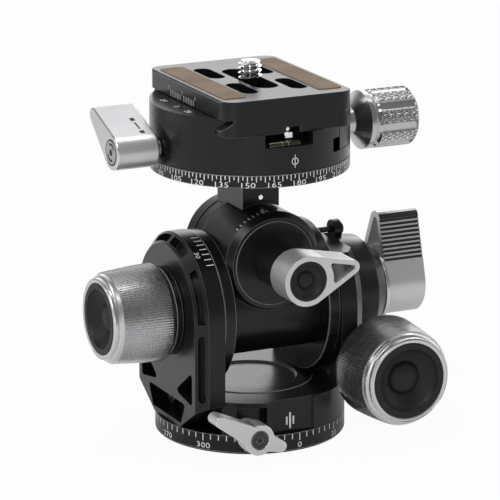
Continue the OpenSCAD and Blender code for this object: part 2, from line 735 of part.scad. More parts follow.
module tilt_housing() {
    wheel_room_r = roll_wheel_r * (1 + 2 * tooth_h_shares[0] / wheel_teeth) + wheel_pocket_gap;
    color(black) difference() {
        union() {
            intersection() {
                translate([-housing_side_x, 0, tilt_axis_z]) to_x() cylinder(r = barrel_r, h = 2 * housing_side_x);
                translate([-flange_x, -barrel_r, tilt_axis_z - flat_drop]) cube([2 * flange_x, 2 * barrel_r, flat_drop + barrel_r]);
            }
            translate([0, -drum_front + drum_edge, roll_axis_z]) to_y() cylinder(r = drum_r, h = groove_y[0] + drum_front - drum_edge);
            translate([0, -drum_front, roll_axis_z]) to_y() cylinder(r1 = front_cap_r, r2 = drum_r, h = drum_edge);
            translate([0, groove_y[1], roll_axis_z]) to_y() cylinder(r = rear_wall_r, h = rear_wall_y - groove_y[1]);
            translate([-housing_side_x, -barrel_r + 1.5 * drum_edge, tilt_axis_z]) cube([2 * housing_side_x, barrel_r - 1.5 * drum_edge + groove_y[0], roll_axis_z - tilt_axis_z]);
        }
        for (side = [-1, 1]) translate([side * (housing_side_x + drum_r), 0, roll_axis_z]) cube([2 * drum_r, 4 * drum_r, 2 * drum_r], center = true);
        translate([0, groove_y[0], roll_axis_z]) to_y() cylinder(r = drum_r + part_gap, h = groove_y[1] - groove_y[0]);
        translate([-barrel_r, groove_y[0], roll_axis_z]) cube([2 * barrel_r, groove_y[1] - groove_y[0], drum_r]);
        translate([0, -wheel_w / 2 - wheel_pocket_gap, roll_axis_z]) to_y() cylinder(r = wheel_room_r, h = groove_y[1]);
        translate([-flange_x - cut, 0, tilt_axis_z]) to_x() cylinder(r = roll_worm_room_r, h = flange_x + cut + roll_worm_bush_x + roll_worm_bush_l);
        translate([0, -drum_front - cut, roll_axis_z]) to_y() cylinder(r = roll_shaft_r + roll_bush_t, h = drum_front + rear_wall_y + 2 * cut);
        translate([0, -drum_front + front_cap_t, roll_axis_z]) to_y() cylinder(r = brake_r + part_gap, h = brake_t + brake_room);
        translate([0, -drum_front - cut, roll_axis_z]) to_y() cylinder(r = front_cap_r - drum_edge / 2 + fit_gap, h = front_cap_t + cut);
        for (side = [-1, 1], a = flange_screw_angles) translate([side * flange_x, flange_screw_circle_r * cos(a), tilt_axis_z + flange_screw_circle_r * sin(a)])
            rotate([0, side * 90, 0]) translate([0, 0, -flange_screw_l]) cylinder(r = flange_screw_r + fit_gap, h = flange_screw_l + cut);
    }
}

// An end flange with its bore and screw holes, on X = 0 and towards +X
module flange(bore_r) {
    difference() {
        to_x() tube(flange_r, bore_r, flange_t);
        for (a = flange_screw_angles) translate([-cut, flange_screw_circle_r * cos(a), flange_screw_circle_r * sin(a)]) to_x() {
            cylinder(r = flange_screw_r + fit_gap, h = flange_t + 2 * cut);
            translate([0, 0, cut + flange_t - flange_head_t - fit_gap]) cylinder(r = flange_screw_head_r + part_gap, h = flange_t);
        }
    }
}

module scale_flange() {
    color(black) translate([-flange_x, 0, tilt_axis_z]) mirror([1, 0, 0]) flange(trunnion_r + fit_gap);
}

module right_flange() {
    color(black) translate([flange_x, 0, tilt_axis_z]) flange(shaft_r + fit_gap);
}

module flange_screws() {
    color(steel) for (side = [-1, 1], a = flange_screw_angles)
        translate([side * (flange_x + flange_t - flange_head_t - fit_gap), flange_screw_circle_r * cos(a), tilt_axis_z + flange_screw_circle_r * sin(a)])
            rotate([0, side * 90, 0]) cap_screw(flange_screw_r, flange_screw_l + flange_t - flange_head_t - part_gap, flange_screw_head_r, flange_head_t, flange_screw_r / 2);
}

module left_trunnion() {
    color(steel) translate([-arm_out - face_gap, 0, tilt_axis_z]) to_x() tube(trunnion_r, trunnion_bore_r, arm_out + face_gap - flange_x);
}

module knob_collar() {
    color(black) translate([-arm_out - face_gap - collar_t, 0, tilt_axis_z]) to_x() tube(collar_r, trunnion_bore_r, collar_t);
}

module tilt_shaft() {
    color(steel) translate([flange_x, 0, tilt_axis_z]) to_x() cylinder(r = shaft_r, h = shaft_end_x - flange_x);
}

module tilt_worm_wheel() {
    color(bronze) translate([worm_x, 0, tilt_axis_z]) rotate([0, 90, 0]) worm_wheel(tilt_wheel_r, shaft_r + fit_gap);
}

module front_cap() {
    color(black) translate([0, -drum_front, roll_axis_z]) to_y() tube(front_cap_r - drum_edge / 2, stud_r + run_gap, front_cap_t);
}

module roll_bushes() {
    front = -drum_front + front_cap_t + brake_t + brake_room;
    color(bronze) at_roll() {
        translate([0, front, 0]) to_y() tube(roll_shaft_r + roll_bush_t - fit_gap, roll_shaft_r + run_gap, -wheel_w / 2 - part_gap - front);
        translate([0, groove_y[1], 0]) to_y() tube(roll_shaft_r + roll_bush_t - fit_gap, roll_shaft_r + run_gap, rear_wall_y - groove_y[1]);
    }
    color(bronze) at_tilt() {
        translate([-flange_x, 0, 0]) to_x() tube(roll_worm_room_r - fit_gap, worm_shaft_r + run_gap, roll_worm_bush_l);
        translate([roll_worm_bush_x, 0, 0]) to_x() tube(roll_worm_room_r - fit_gap, worm_shaft_r + run_gap, roll_worm_bush_l);
    }
}

module brake_disc() {
    color(bronze) translate([0, -drum_front + front_cap_t + brake_room - part_gap, roll_axis_z]) to_y() cylinder(r = brake_r, h = brake_t);
}

// Knobs

// Knob shell with its rear face on Z = 0 and its front towards +Z
module knob_shell(r, bore_r) {
    rotate_extrude() polygon([[bore_r, 0], [r - knob_taper, 0], [r, knob_taper], [r - knob_taper, knob_l - knob_rim_t],
        [r - knob_taper - knob_rim_in / 2, knob_l - knob_rim_t], [r - knob_taper - knob_rim_in, knob_l], [r - knob_taper - knob_cap_in, knob_l],
        [r - knob_taper - knob_cap_in, knob_l - knob_cap_t], [bore_r, knob_l - knob_cap_t]]);
}

// Dished cap with a domed button, in the front of a knob
module knob_cap_form(r) {
    cap = r - knob_taper - knob_cap_in - fit_gap;
    button = cap * knob_button_share;
    translate([0, 0, knob_l - knob_cap_t]) rotate_extrude() polygon(concat([[0, 0], [cap, 0], [cap, knob_cap_t], [cap * 0.86, knob_cap_t],
        [button * 1.1, knob_cap_t - knob_dish], [button, knob_cap_t - knob_dish]],
        [for (a = [15:15:75]) [button * cos(a), knob_cap_t - knob_dish + knob_button_rise * sin(a)]], [[0, knob_cap_t - knob_dish + knob_button_rise]]));
}

module tilt_worm() {
    shaft_l = worm_block_y[1] - tilt_knob_y;
    color(steel) translate([worm_x, 0, tilt_worm_z]) {
        to_y() worm(tilt_worm_r, tilt_wheel_r, 90);
        translate([0, tilt_knob_y - knob_l + knob_cap_t, 0]) to_y() cylinder(r = worm_shaft_r, h = shaft_l + knob_l - knob_cap_t);
    }
}

module tilt_knob() {
    color(silver) translate([worm_x, tilt_knob_y, tilt_worm_z]) to_front() knob_shell(tilt_knob_r, worm_shaft_r + fit_gap);
}

module tilt_knob_cap() {
    color(rubber) translate([worm_x, tilt_knob_y, tilt_worm_z]) to_front() knob_cap_form(tilt_knob_r);
}

module roll_worm() {
    color(steel) at_tilt() {
        to_x() worm(roll_worm_r, roll_wheel_r, -90);
        translate([roll_knob_x - knob_l + knob_cap_t, 0, 0]) to_x() cylinder(r = worm_shaft_r, h = -roll_knob_x + knob_l - knob_cap_t + roll_worm_end_x);
    }
}

module roll_knob() {
    color(silver) translate([roll_knob_x, 0, tilt_axis_z]) rotate([0, -90, 0]) knob_shell(roll_knob_r, worm_shaft_r + fit_gap);
}

module roll_knob_cap() {
    color(rubber) translate([roll_knob_x, 0, tilt_axis_z]) rotate([0, -90, 0]) knob_cap_form(roll_knob_r);
}

// Lever outlines: a hub and a tip joined by their tangents
module lever_outline(hub_r, tip_r, l, angle) {
    hull() {
        circle(r = hub_r, $fn = 2 * hull_fn);
        rotate(angle) translate([l, 0]) circle(r = tip_r, $fn = hull_fn);
    }
}

// Three-cornered hole between a lever's hub and its tip
module lever_hole(hub_r, tip_r, l, angle, wall) {
    offset(r = wall / 2) offset(delta = -wall / 2) difference() {
        offset(delta = -wall) lever_outline(hub_r, tip_r, l, angle);
        circle(r = hub_r + wall / 2);
    }
}

// Half-round grooves across a lever's side
module rib_grooves(hub_r, tip_r, l, angle, count, pitch, start, side) {
    lean = asin((hub_r - tip_r) / l);
    for (i = [0:count - 1]) rotate(angle + side * (90 - lean)) translate([hub_r, -side * (start + i * pitch)]) circle(r = rib_r, $fn = 13);
}

module roll_lock_lever() {
    color(silver) at_roll() difference() {
        union() {
            translate([0, -drum_front - face_gap, 0]) to_front() cylinder(r = roll_lever_tube_r, h = roll_lever_in_y - drum_front);
            translate([0, -roll_lever_in_y, 0]) to_front() linear_extrude(height = roll_lever_out_y - roll_lever_in_y) difference() {
                lever_outline(roll_lever_hub_r, roll_lever_tip_r, roll_lever_l, roll_lever_angle);
                lever_hole(roll_lever_hub_r, roll_lever_tip_r, roll_lever_l, roll_lever_angle, lever_wall);
            }
        }
        translate([0, -drum_front + cut, 0]) to_front() cylinder(r = stud_r + fit_gap, h = cut + roll_lever_in_y - drum_front);
        translate([0, -roll_lever_out_y + roll_cap_t, 0]) to_front() cylinder(r = roll_cap_r + fit_gap, h = roll_cap_t + cut);
    }
}

module roll_lock_cap() {
    button = roll_cap_r * knob_button_share;
    color(rubber) translate([0, -roll_lever_out_y + roll_cap_t, roll_axis_z]) to_front() rotate_extrude()
        polygon(concat([[0, 0], [roll_cap_r, 0], [roll_cap_r, roll_cap_t], [roll_cap_r * 0.84, roll_cap_t], [button * 1.1, roll_cap_t / 2], [button, roll_cap_t / 2]],
            [for (a = [15:15:75]) [button * cos(a), roll_cap_t / 2 * (1 + 0.6 * sin(a))]], [[0, 0.8 * roll_cap_t]]));
}

module roll_lock_stud() {
    inner = -drum_front + front_cap_t + brake_room - 2 * part_gap;
    color(steel) translate([0, inner, roll_axis_z]) to_front() cylinder(r = stud_r, h = roll_lever_in_y + inner);
}

module tilt_lock_lever() {
    color(silver) difference() {
        translate([tilt_lever_x[0], 0, tilt_axis_z]) to_x() linear_extrude(height = tilt_lever_x[1] - tilt_lever_x[0]) difference() {
            lever_outline(tilt_lever_hub_r, tilt_lever_tip_r, tilt_lever_l, tilt_lever_angle);
            lever_hole(tilt_lever_hub_r, tilt_lever_tip_r, tilt_lever_l, tilt_lever_angle, tilt_lever_wall);
            rib_grooves(tilt_lever_hub_r, tilt_lever_tip_r, tilt_lever_l, tilt_lever_angle, tilt_rib_count, tilt_rib_pitch,
                tilt_lever_l - tilt_rib_count * tilt_rib_pitch, 1);
        }
        translate([tilt_lever_x[0] - cut, 0, tilt_axis_z]) to_x() cylinder(r = stud_r + fit_gap, h = cut + (tilt_lever_x[1] - tilt_lever_x[0]) / 2);
    }
}

module tilt_lock_ring() {
    color(silver) translate([housing_end_x + face_gap, 0, tilt_axis_z]) to_x() tube(tilt_ring_r, stud_r + fit_gap, tilt_lever_x[0] - housing_end_x - face_gap);
}

module tilt_lock_stud() {
    color(steel) translate([shaft_end_x + part_gap, 0, tilt_axis_z]) to_x() cylinder(r = stud_r, h = (tilt_lever_x[0] + tilt_lever_x[1]) / 2 - shaft_end_x - part_gap);
}

// Roll stage

module roll_bracket() {
    disc_y = groove_y[0] + bracket_gap;
    disc_t = groove_y[1] - bracket_gap - disc_y;
    color(black) difference() {
        union() {
            translate([0, disc_y, roll_axis_z]) to_y() cylinder(r1 = bracket_r - bracket_cone_in, r2 = bracket_r, h = bracket_cone_t);
            translate([0, disc_y + bracket_cone_t, roll_axis_z]) to_y() cylinder(r = bracket_r, h = disc_t - bracket_cone_t);
            translate([-post_w / 2, post_front_y, roll_axis_z]) cube([post_w, disc_y + disc_t - post_front_y, pan_z - roll_axis_z]);
        }
        translate([0, post_front_y - cut, roll_axis_z]) to_y() cylinder(r = drum_r + post_arc_gap, h = disc_y - post_front_y + cut);
        translate([0, disc_y - cut, roll_axis_z]) to_y() cylinder(r = roll_shaft_r + fit_gap, h = disc_t + 2 * cut);
        translate([0, post_front_y - cut, roll_axis_z + drum_r + post_arc_gap + dot_rise + dot_r]) to_y() cylinder(r = dot_r, h = cut + dot_depth);
        for (y = pan_screw_y) translate([0, y, pan_z - pan_screw_deep]) cylinder(r = pan_screw_r + fit_gap, h = pan_screw_deep + cut);
    }
}

module roll_shaft() {
    front = -drum_front + front_cap_t + brake_t + brake_room;
    color(steel) translate([0, front, roll_axis_z]) to_y() cylinder(r = roll_shaft_r, h = rear_wall_y - front);
}

module roll_worm_wheel() {
    color(bronze) at_roll() rotate([90, 90, 0]) worm_wheel(roll_wheel_r, roll_shaft_r + fit_gap);
}

module pan_scale_ring() {
    color(black) difference() {
        union() {
            translate([0, 0, pan_z]) cylinder(r = pan_r, h = pan_ring_h);
            translate([0, 0, pan_z]) cylinder(r = pan_hub_r, h = pan_ring_h + face_gap + pan_hub_h);
        }
        for (y = pan_screw_y) translate([0, y, pan_z - cut]) cylinder(r = pan_screw_r + fit_gap, h = pan_hub_h + 2 * pan_ring_h);
    }
}

module pan_screws() {
    head_z = clamp_z + pan_hub_h + pan_retainer_t;
    color(steel) for (y = pan_screw_y) translate([0, y, head_z])
        cap_screw(pan_screw_r, head_z - pan_z + pan_screw_deep - part_gap, pan_screw_head_r, pan_screw_head_t, pan_screw_r / 2);
}

module pan_retainer() {
    color(steel) translate([0, 0, clamp_z + pan_hub_h]) difference() {
        cylinder(r = pan_retainer_r, h = pan_retainer_t);
        for (y = pan_screw_y) translate([0, y, -cut]) cylinder(r = pan_screw_r + fit_gap, h = pan_retainer_t + 2 * cut);
    }
}

// Clamp

// Outline of the dovetail channel, with X across and Z up, as wide as the plate and its gap
module channel_outline(gap) {
    half = plate_w / 2 + gap;
    polygon([[-half, plate_floor_z], [half, plate_floor_z], [half, plate_floor_z + dovetail_lip], [half - dovetail_in, plate_floor_z + dovetail_lip + dovetail_in],
        [half - dovetail_in, clamp_top_z + cut], [-half + dovetail_in, clamp_top_z + cut], [-half + dovetail_in, plate_floor_z + dovetail_lip + dovetail_in],
        [-half, plate_floor_z + dovetail_lip]]);
}

module channel(gap) {
    translate([0, pan_r + cut, 0]) to_front() linear_extrude(height = 2 * (pan_r + cut)) channel_outline(gap);
}

module clamp_body() {
    color(black) difference() {
        translate([0, 0, clamp_z]) cylinder(r = pan_r, h = clamp_h);
        channel(dovetail_gap);
        translate([jaw_x - part_gap, -pan_r, jaw_floor_z]) cube([pan_r, 2 * pan_r, clamp_h]);
        translate([jaw_x - jaw_gap, -pan_r, jaw_floor_z]) cube([pan_r, 2 * pan_r, jaw_slot_top_z - jaw_floor_z]);
        translate([0, 0, clamp_z - cut]) cylinder(r = pan_hub_r + run_gap, h = pan_hub_h + 2 * cut);
        translate([0, 0, clamp_z + pan_web_t]) cylinder(r = pan_well_r, h = clamp_h);
        translate([window_x[0], -pan_r - cut, window_z]) cube([window_x[1] - window_x[0], window_in + cut, clamp_h]);
        translate([pin_x, pin_y, window_z - pin_deep]) cylinder(r = pin_r + run_gap, h = pin_deep + cut);
        translate([vial_x, vial_y, window_z + vial_rise]) to_x() cylinder(r = vial_r + fit_gap, h = vial_l);
        translate([clamp_screw_in - jaw_travel, 0, clamp_screw_z]) to_x() cylinder(r = clamp_screw_r + run_gap, h = pan_r);
        for (y = [-jaw_pin_y, jaw_pin_y]) translate([jaw_pin_in - jaw_travel, y, clamp_screw_z]) to_x() cylinder(r = jaw_pin_r + run_gap, h = pan_r);
        translate([-pan_r - cut, 0, pan_lock_z]) to_x() cylinder(r = pan_stud_r + run_gap, h = pan_r);
    }
}

module bubble_level() {
    color(vial_green) translate([vial_x, vial_y, window_z + vial_rise]) to_x() cylinder(r = vial_r, h = vial_l);
}

module pan_brake_shoe() {
    color(bronze) intersection() {
        translate([-pan_hub_r - part_gap - shoe_t, 0, pan_lock_z]) to_x() cylinder(r = pan_stud_r, h = 2 * shoe_t);
        translate([0, 0, clamp_z]) tube(pan_r, pan_hub_r + part_gap, clamp_h);
    }
}

module clamp_jaw() {
    color(black) difference() {
        intersection() {
            translate([0, 0, jaw_floor_z + face_gap]) cylinder(r = pan_r, h = clamp_top_z - jaw_floor_z - face_gap);
            translate([jaw_x, -pan_r, jaw_floor_z]) cube([pan_r, 2 * pan_r, clamp_h]);
        }
        channel(dovetail_gap);
        translate([0, 0, clamp_screw_z]) to_x() cylinder(r = clamp_screw_r + run_gap, h = pan_r + cut);
        for (y = [-jaw_pin_y, jaw_pin_y]) translate([0, y, clamp_screw_z]) to_x() cylinder(r = jaw_pin_r + fit_gap, h = jaw_pin_in + jaw_pin_l);
    }
}

module jaw_pins() {
    color(steel) for (y = [-jaw_pin_y, jaw_pin_y]) translate([jaw_pin_in, y, clamp_screw_z]) to_x() cylinder(r = jaw_pin_r, h = jaw_pin_l);
}

module clamp_screw() {
    color(steel) translate([clamp_screw_in, 0, clamp_screw_z]) to_x() cylinder(r = clamp_screw_r, h = clamp_cone_x - clamp_screw_in);
}

module clamp_knob() {
    body_r = clamp_knob_r - clamp_groove_in;
    color(silver) difference() {
        translate([0, 0, clamp_screw_z]) to_x() rotate_extrude() polygon([[0, clamp_cone_x], [clamp_screw_r + fit_gap, clamp_cone_x], [clamp_screw_r + fit_gap, pan_r + face_gap],
            [clamp_neck_r, pan_r + face_gap], [clamp_neck_r, clamp_cone_x - cut / 2], [clamp_knob_r, clamp_flange_x - clamp_flange_t / 2], [clamp_knob_r, clamp_flange_x + clamp_flange_t / 2],
            [body_r, clamp_flange_x + clamp_flange_t], [body_r, clamp_flange_x + clamp_flange_t + clamp_groove_t], [clamp_knob_r, clamp_flange_x + clamp_flange_t + clamp_groove_t + clamp_knob_edge / 2],
            [clamp_knob_r, clamp_knob_end_x - clamp_knob_edge], [clamp_knob_r - clamp_knob_edge, clamp_knob_end_x], [0, clamp_knob_end_x]]);
        for (i = [0:clamp_flute_count - 1]) translate([clamp_flange_x + clamp_flange_t + clamp_groove_t / 2, 0, clamp_screw_z]) rotate([360 * i / clamp_flute_count + clamp_flute_phase, 0, 0])
            translate([0, 0, clamp_knob_r + clamp_flute_r - clamp_flute_depth]) to_x() cylinder(r = clamp_flute_r, h = clamp_knob_end_x);
    }
}

module pan_lock_lever() {
    color(silver) difference() {
        translate([pan_lever_x[0], 0, pan_lock_z]) to_x() linear_extrude(height = pan_lever_x[1] - pan_lever_x[0])
            lever_outline(pan_lever_hub_r, pan_lever_tip_r, pan_lever_l, pan_lever_angle);
        translate([pan_lever_x[0] - cut, 0, pan_lock_z]) to_x() cylinder(r = pan_cap_r + fit_gap, h = pan_cap_t + cut);
        translate([pan_lever_x[0] + pan_cap_t, 0, pan_lock_z]) to_x() cylinder(r = pan_stud_r + fit_gap, h = pan_lever_x[1] - pan_lever_x[0]);
    }
}

module pan_lock_stud() {
    inner = -pan_hub_r - 2 * part_gap - shoe_t;
    color(steel) {
        translate([pan_lever_x[0], 0, pan_lock_z]) to_x() cylinder(r = pan_cap_r, h = pan_cap_t);
        translate([pan_lever_x[0], 0, pan_lock_z]) to_x() cylinder(r = pan_stud_r, h = inner - pan_lever_x[0]);
        translate([pan_lever_x[1], 0, pan_lock_z]) to_x() cylinder(r = pan_collar_r, h = -pan_r - part_gap - pan_lever_x[1]);
    }
}

module safety_pin() {
    pin_low_z = window_z - pin_deep + pin_travel + part_gap;
    color(silver) {
        translate([pin_x, pin_y, pin_low_z]) cylinder(r = pin_r, h = plate_floor_z + pin_rise - pin_low_z);
        translate([pin_x, pin_y, plate_floor_z - face_gap / 2 - pin_head_h]) cylinder(r = pin_head_r, h = pin_head_h);
    }
}

// Camera plate

// Plate blank: a rounded block with its dovetail sides
module plate_blank() {
    half_w = plate_w / 2;
    half_l = plate_l / 2;
    slab_z = clamp_top_z + slab_gap;
    intersection() {
        translate([0, 0, plate_z]) linear_extrude(height = plate_t) offset(r = plate_corner_r) square([plate_w - 2 * plate_corner_r, plate_l - 2 * plate_corner_r], center = true);
        translate([0, half_l, 0]) to_front() linear_extrude(height = plate_l) polygon([[-half_w, plate_z], [half_w, plate_z], [half_w, plate_z + dovetail_lip],
            [half_w - dovetail_in, plate_z + dovetail_lip + dovetail_in], [half_w - dovetail_in, slab_z], [half_w, slab_z], [half_w, plate_top_z - plate_edge], [half_w - plate_edge, plate_top_z],
            [-half_w + plate_edge, plate_top_z], [-half_w, plate_top_z - plate_edge], [-half_w, slab_z], [-half_w + dovetail_in, slab_z], [-half_w + dovetail_in, plate_z + dovetail_lip + dovetail_in],
            [-half_w, plate_z + dovetail_lip]]);
    }
}

// A slot along Y between two end centres
module slot(half_w, y0, y1, h) {
    for (y = [y0 + half_w, y1 - half_w]) translate([0, y, 0]) cylinder(r = half_w, h = h);
    translate([-half_w, y0 + half_w, 0]) cube([2 * half_w, y1 - y0 - 2 * half_w, h]);
}

// Outline of a pad, with its corners rounded
module pad_outline(gap) {
    offset(r = pad_corner_r) translate([pad_x[0] + pad_corner_r - gap, -pad_half + pad_corner_r - gap]) square([pad_x[1] - pad_x[0] - 2 * (pad_corner_r - gap), 2 * (pad_half - pad_corner_r + gap)]);
}

module camera_plate() {
    color(black) difference() {
        plate_blank();
        for (x = [-slot_x, slot_x]) translate([x, 0, plate_z - cut]) {
            slot(slot_half_w, side_slot_y[0], side_slot_y[1], plate_t + 2 * cut);
            slot(slot_half_w, -side_slot_y[1], -side_slot_y[0], plate_t + 2 * cut);
        }
        translate([0, 0, plate_z - cut]) slot(camera_screw_r + part_gap, -middle_slot_half, middle_slot_half, plate_t + 2 * cut);
        translate([0, 0, plate_z - cut]) cylinder(r = middle_well_r, h = middle_well_t + cut);
        translate([pin_x - pin_groove_w / 2, -plate_l / 2 - cut, plate_z - cut]) cube([pin_groove_w, pin_groove_l + cut, pin_groove_t + cut]);
        for (side = [0, 1]) mirror([side, 0, 0]) translate([0, 0, plate_top_z + pad_rise - pad_t]) linear_extrude(height = pad_t) pad_outline(fit_gap);
    }
}

module plate_pads() {
    color(cork) for (side = [0, 1]) mirror([side, 0, 0]) translate([0, 0, plate_top_z + pad_rise - pad_t]) linear_extrude(height = pad_t) pad_outline(0);
}

module camera_screw() {
    top_z = plate_top_z + camera_screw_h;
    head_z = plate_z + middle_well_t - face_gap - screw_head_t;
    color(steel) difference() {
        union() {
            translate([0, 0, head_z]) cylinder(r = screw_head_r, h = screw_head_t);
            translate([0, 0, head_z]) cylinder(r = screw_neck_r, h = plate_top_z - head_z);
            translate([0, 0, plate_top_z]) cylinder(r = camera_screw_r, h = camera_screw_h - screw_edge);
            translate([0, 0, top_z - screw_edge]) cylinder(r1 = camera_screw_r, r2 = camera_screw_r - screw_edge, h = screw_edge);
        }
        translate([-screw_head_r, -screw_slot_w / 2, head_z - cut]) cube([2 * screw_head_r, screw_slot_w, screw_slot_t + cut]);
    }
}

base_ring();
thread_insert();
base_retainer();
retainer_screws();
yoke_foot();
centre_cap();
left_arm();
right_arm();
arm_screws();
left_bush();
right_bush();
gear_housing();
housing_screws();
worm_bushes();
base_lock_stud();
base_lock_lever();
base_lock_screw();
base_brake_shoe();
tilt_housing();
scale_flange();
right_flange();
flange_screws();
left_trunnion();
knob_collar();
tilt_shaft();
tilt_worm_wheel();
front_cap();
roll_bushes();
brake_disc();
tilt_worm();
tilt_knob();
tilt_knob_cap();
tilt_lock_lever();
tilt_lock_ring();
tilt_lock_stud();
roll_worm();
roll_knob();
roll_knob_cap();
roll_lock_lever();
roll_lock_cap();
roll_lock_stud();
roll_bracket();
roll_shaft();
roll_worm_wheel();
pan_scale_ring();
pan_screws();
pan_retainer();
clamp_body();
bubble_level();
pan_brake_shoe();
clamp_jaw();
jaw_pins();
clamp_knob();
clamp_screw();
pan_lock_lever();
pan_lock_stud();
safety_pin();
camera_plate();
plate_pads();
camera_screw();
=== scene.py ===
import json
import math

import bmesh
import bpy
from bpy.props import FloatProperty, FloatVectorProperty, IntProperty, PointerProperty
from mathutils import Matrix, Vector


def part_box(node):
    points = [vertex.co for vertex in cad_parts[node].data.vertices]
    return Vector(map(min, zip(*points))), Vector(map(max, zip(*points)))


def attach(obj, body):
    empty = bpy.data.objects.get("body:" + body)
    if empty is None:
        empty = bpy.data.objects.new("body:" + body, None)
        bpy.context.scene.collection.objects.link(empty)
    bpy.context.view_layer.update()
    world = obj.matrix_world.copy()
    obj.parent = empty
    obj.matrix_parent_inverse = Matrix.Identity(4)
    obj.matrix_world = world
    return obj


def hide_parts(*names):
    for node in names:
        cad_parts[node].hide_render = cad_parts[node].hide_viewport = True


bl_info = {
    "name": "Geared Tripod Head Dressing",
    "version": (1, 0, 0),
    "blender": (4, 5, 0),
    "location": "View3D > Sidebar > Geared Head",
    "description": "Dresses the packed geared tripod head with its finishes, knurls, scales and studio",
    "category": "Object",
}

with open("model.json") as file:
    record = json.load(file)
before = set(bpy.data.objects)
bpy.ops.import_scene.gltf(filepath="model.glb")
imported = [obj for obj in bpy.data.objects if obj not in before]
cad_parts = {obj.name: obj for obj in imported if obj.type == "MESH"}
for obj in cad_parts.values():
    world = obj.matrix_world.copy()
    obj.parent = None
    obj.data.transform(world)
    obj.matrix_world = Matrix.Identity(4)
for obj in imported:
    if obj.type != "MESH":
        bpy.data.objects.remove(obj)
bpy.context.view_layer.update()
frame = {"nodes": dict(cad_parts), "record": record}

MM = 0.001
BODY_OF = {node: body for body, nodes in frame["record"]["behaviour"]["bodies"].items() for node in nodes}


def span(node):
    """Lowest and highest corner of a CAD node, in millimetres."""
    low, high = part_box(node)
    return low / MM, high / MM


def middle(node):
    """Centre of a CAD node's box, in millimetres."""
    low, high = span(node)
    return (low + high) / 2


# Heights and places that several pieces share, in millimetres, read from the frame's own nodes
PAN_LOW, PAN_HIGH = span("pan_scale_ring")
PLATE_LOW, PLATE_HIGH = span("camera_plate")
CLAMP_TOP = span("clamp_body")[1].z
TILT_KNOB_LOW, TILT_KNOB_HIGH = span("tilt_knob")
ROLL_KNOB_LOW, ROLL_KNOB_HIGH = span("roll_knob")
TILT_Z = (ROLL_KNOB_LOW.z + ROLL_KNOB_HIGH.z) / 2
ROLL_Z = sum(corner.z for corner in span("roll_lock_cap")) / 2
PAN_R = PAN_HIGH.x
BASE_R = span("base_ring")[1].x

# How far paint stands out of the surface under it, and how far a line of it goes in, in millimetres
PROUD, SUNK = 0.03, 0.12

# Height in millimetres of each scale's numbers, and how much wider than the font they are
NUMBERS = {"pan": (1.4, 1.4), "base": (1.5, 1.3), "tilt": (1.3, 1.2), "clamp": (1.6, 1.2)}

# The ribs of a control knob, in millimetres: their start, how far before the front they end, how much narrower
# the knob is there, and the power by which it narrows
RIB_START, RIB_END, TAPER, TAPER_POWER = 1.3, 2.7, 1.0, 1.4


# Settings that the panel shows

def length_setting(name, description, default, low, high):
    """A length, which is given here in millimetres."""
    return FloatProperty(name=name, description=description, default=default * MM, min=low * MM, max=high * MM,
                         unit="LENGTH")


def count_setting(name, description, default, low, high):
    return IntProperty(name=name, description=description, default=default, min=low, max=high)


def colour_setting(name, description, default):
    return FloatVectorProperty(name=name, description=description, default=default, subtype="COLOR", size=3,
                               min=0, max=1)


def plain_setting(name, description, default, low, high):
    return FloatProperty(name=name, description=description, default=default, min=low, max=high)


def power_setting(name, description, default):
    return FloatProperty(name=name, description=description, default=default, min=0, max=200, unit="POWER")


class HeadSizes(bpy.types.PropertyGroup):
    """Sizes of the details that dress the head."""
    edge: length_setting("Edge break", "Width of the broken edge on machined parts", 0.28, 0.05, 1)
    fine_edge: length_setting("Fine edge", "Width of the broken edge on small parts", 0.14, 0.02, 0.5)
    rib_count: count_setting("Knob ribs", "Straight ribs round each control knob", 120, 40, 200)
    rib_depth: length_setting("Rib depth", "Depth of the grooves between the knob ribs", 0.42, 0.05, 1)
    knurl_round: count_setting("Knurl diamonds", "Diamonds round the clamp knob", 40, 16, 80)
    knurl_depth: length_setting("Knurl depth", "Height of the clamp knob's diamonds", 0.42, 0.05, 1)
    tick_width: length_setting("Tick width", "Width of the engraved scale lines", 0.24, 0.05, 1)
    thread_pitch: length_setting("Thread pitch", "Pitch of the camera screw's thread", 1.27, 0.5, 2)


class HeadColours(bpy.types.PropertyGroup):
    """Colours of the finishes."""
    anodised: colour_setting("Black anodising", "Colour of the black anodised castings",
                             (0.0062, 0.0063, 0.0068))
    aluminium: colour_setting("Satin aluminium", "Colour of the clear anodised levers and knobs",
                              (0.62, 0.625, 0.635))
    steel: colour_setting("Steel", "Colour of screws and shafts", (0.42, 0.42, 0.44))
    bronze: colour_setting("Bronze", "Colour of bushes and worm wheels", (0.60, 0.40, 0.18))
    chrome: colour_setting("Chrome", "Colour of the plated screw and pin", (0.82, 0.82, 0.84))
    cap: colour_setting("Knob caps", "Colour of the dished black caps", (0.009, 0.009, 0.0095))
    pad: colour_setting("Grip pads", "Colour of the ribbed pads on the plate", (0.235, 0.175, 0.125))
    paint: colour_setting("Scale paint", "Colour of the scale lines and numbers", (0.86, 0.86, 0.85))
    level: colour_setting("Level liquid", "Colour of the bubble level's liquid", (0.42, 0.50, 0.12))


class StudioSettings(bpy.types.PropertyGroup):
    """Camera and lights."""
    lens: plain_setting("Lens", "Focal length for a 36 mm sensor, in millimetres", 243.0, 50, 400)
    key: power_setting("Key light", "Power of the large light above the front left", 4.2)
    fill: power_setting("Fill light", "Power of the light at the right", 1.1)
    front_light: power_setting("Front light", "Power of the soft light beside the camera", 1.0)
    top: power_setting("Top light", "Power of the light straight above", 1.6)
    back: power_setting("Back light", "Power of the wide light behind, for the sheen of upper faces", 1.15)
    rim: power_setting("Rim lights", "Power of each strip light behind the head", 1.1)
    room: plain_setting("Room light", "Strength of the even light of the room", 0.30, 0, 2)
    front: plain_setting("Front of the room", "How bright the room's dark side looks in polished metal", 0.22, 0, 1)


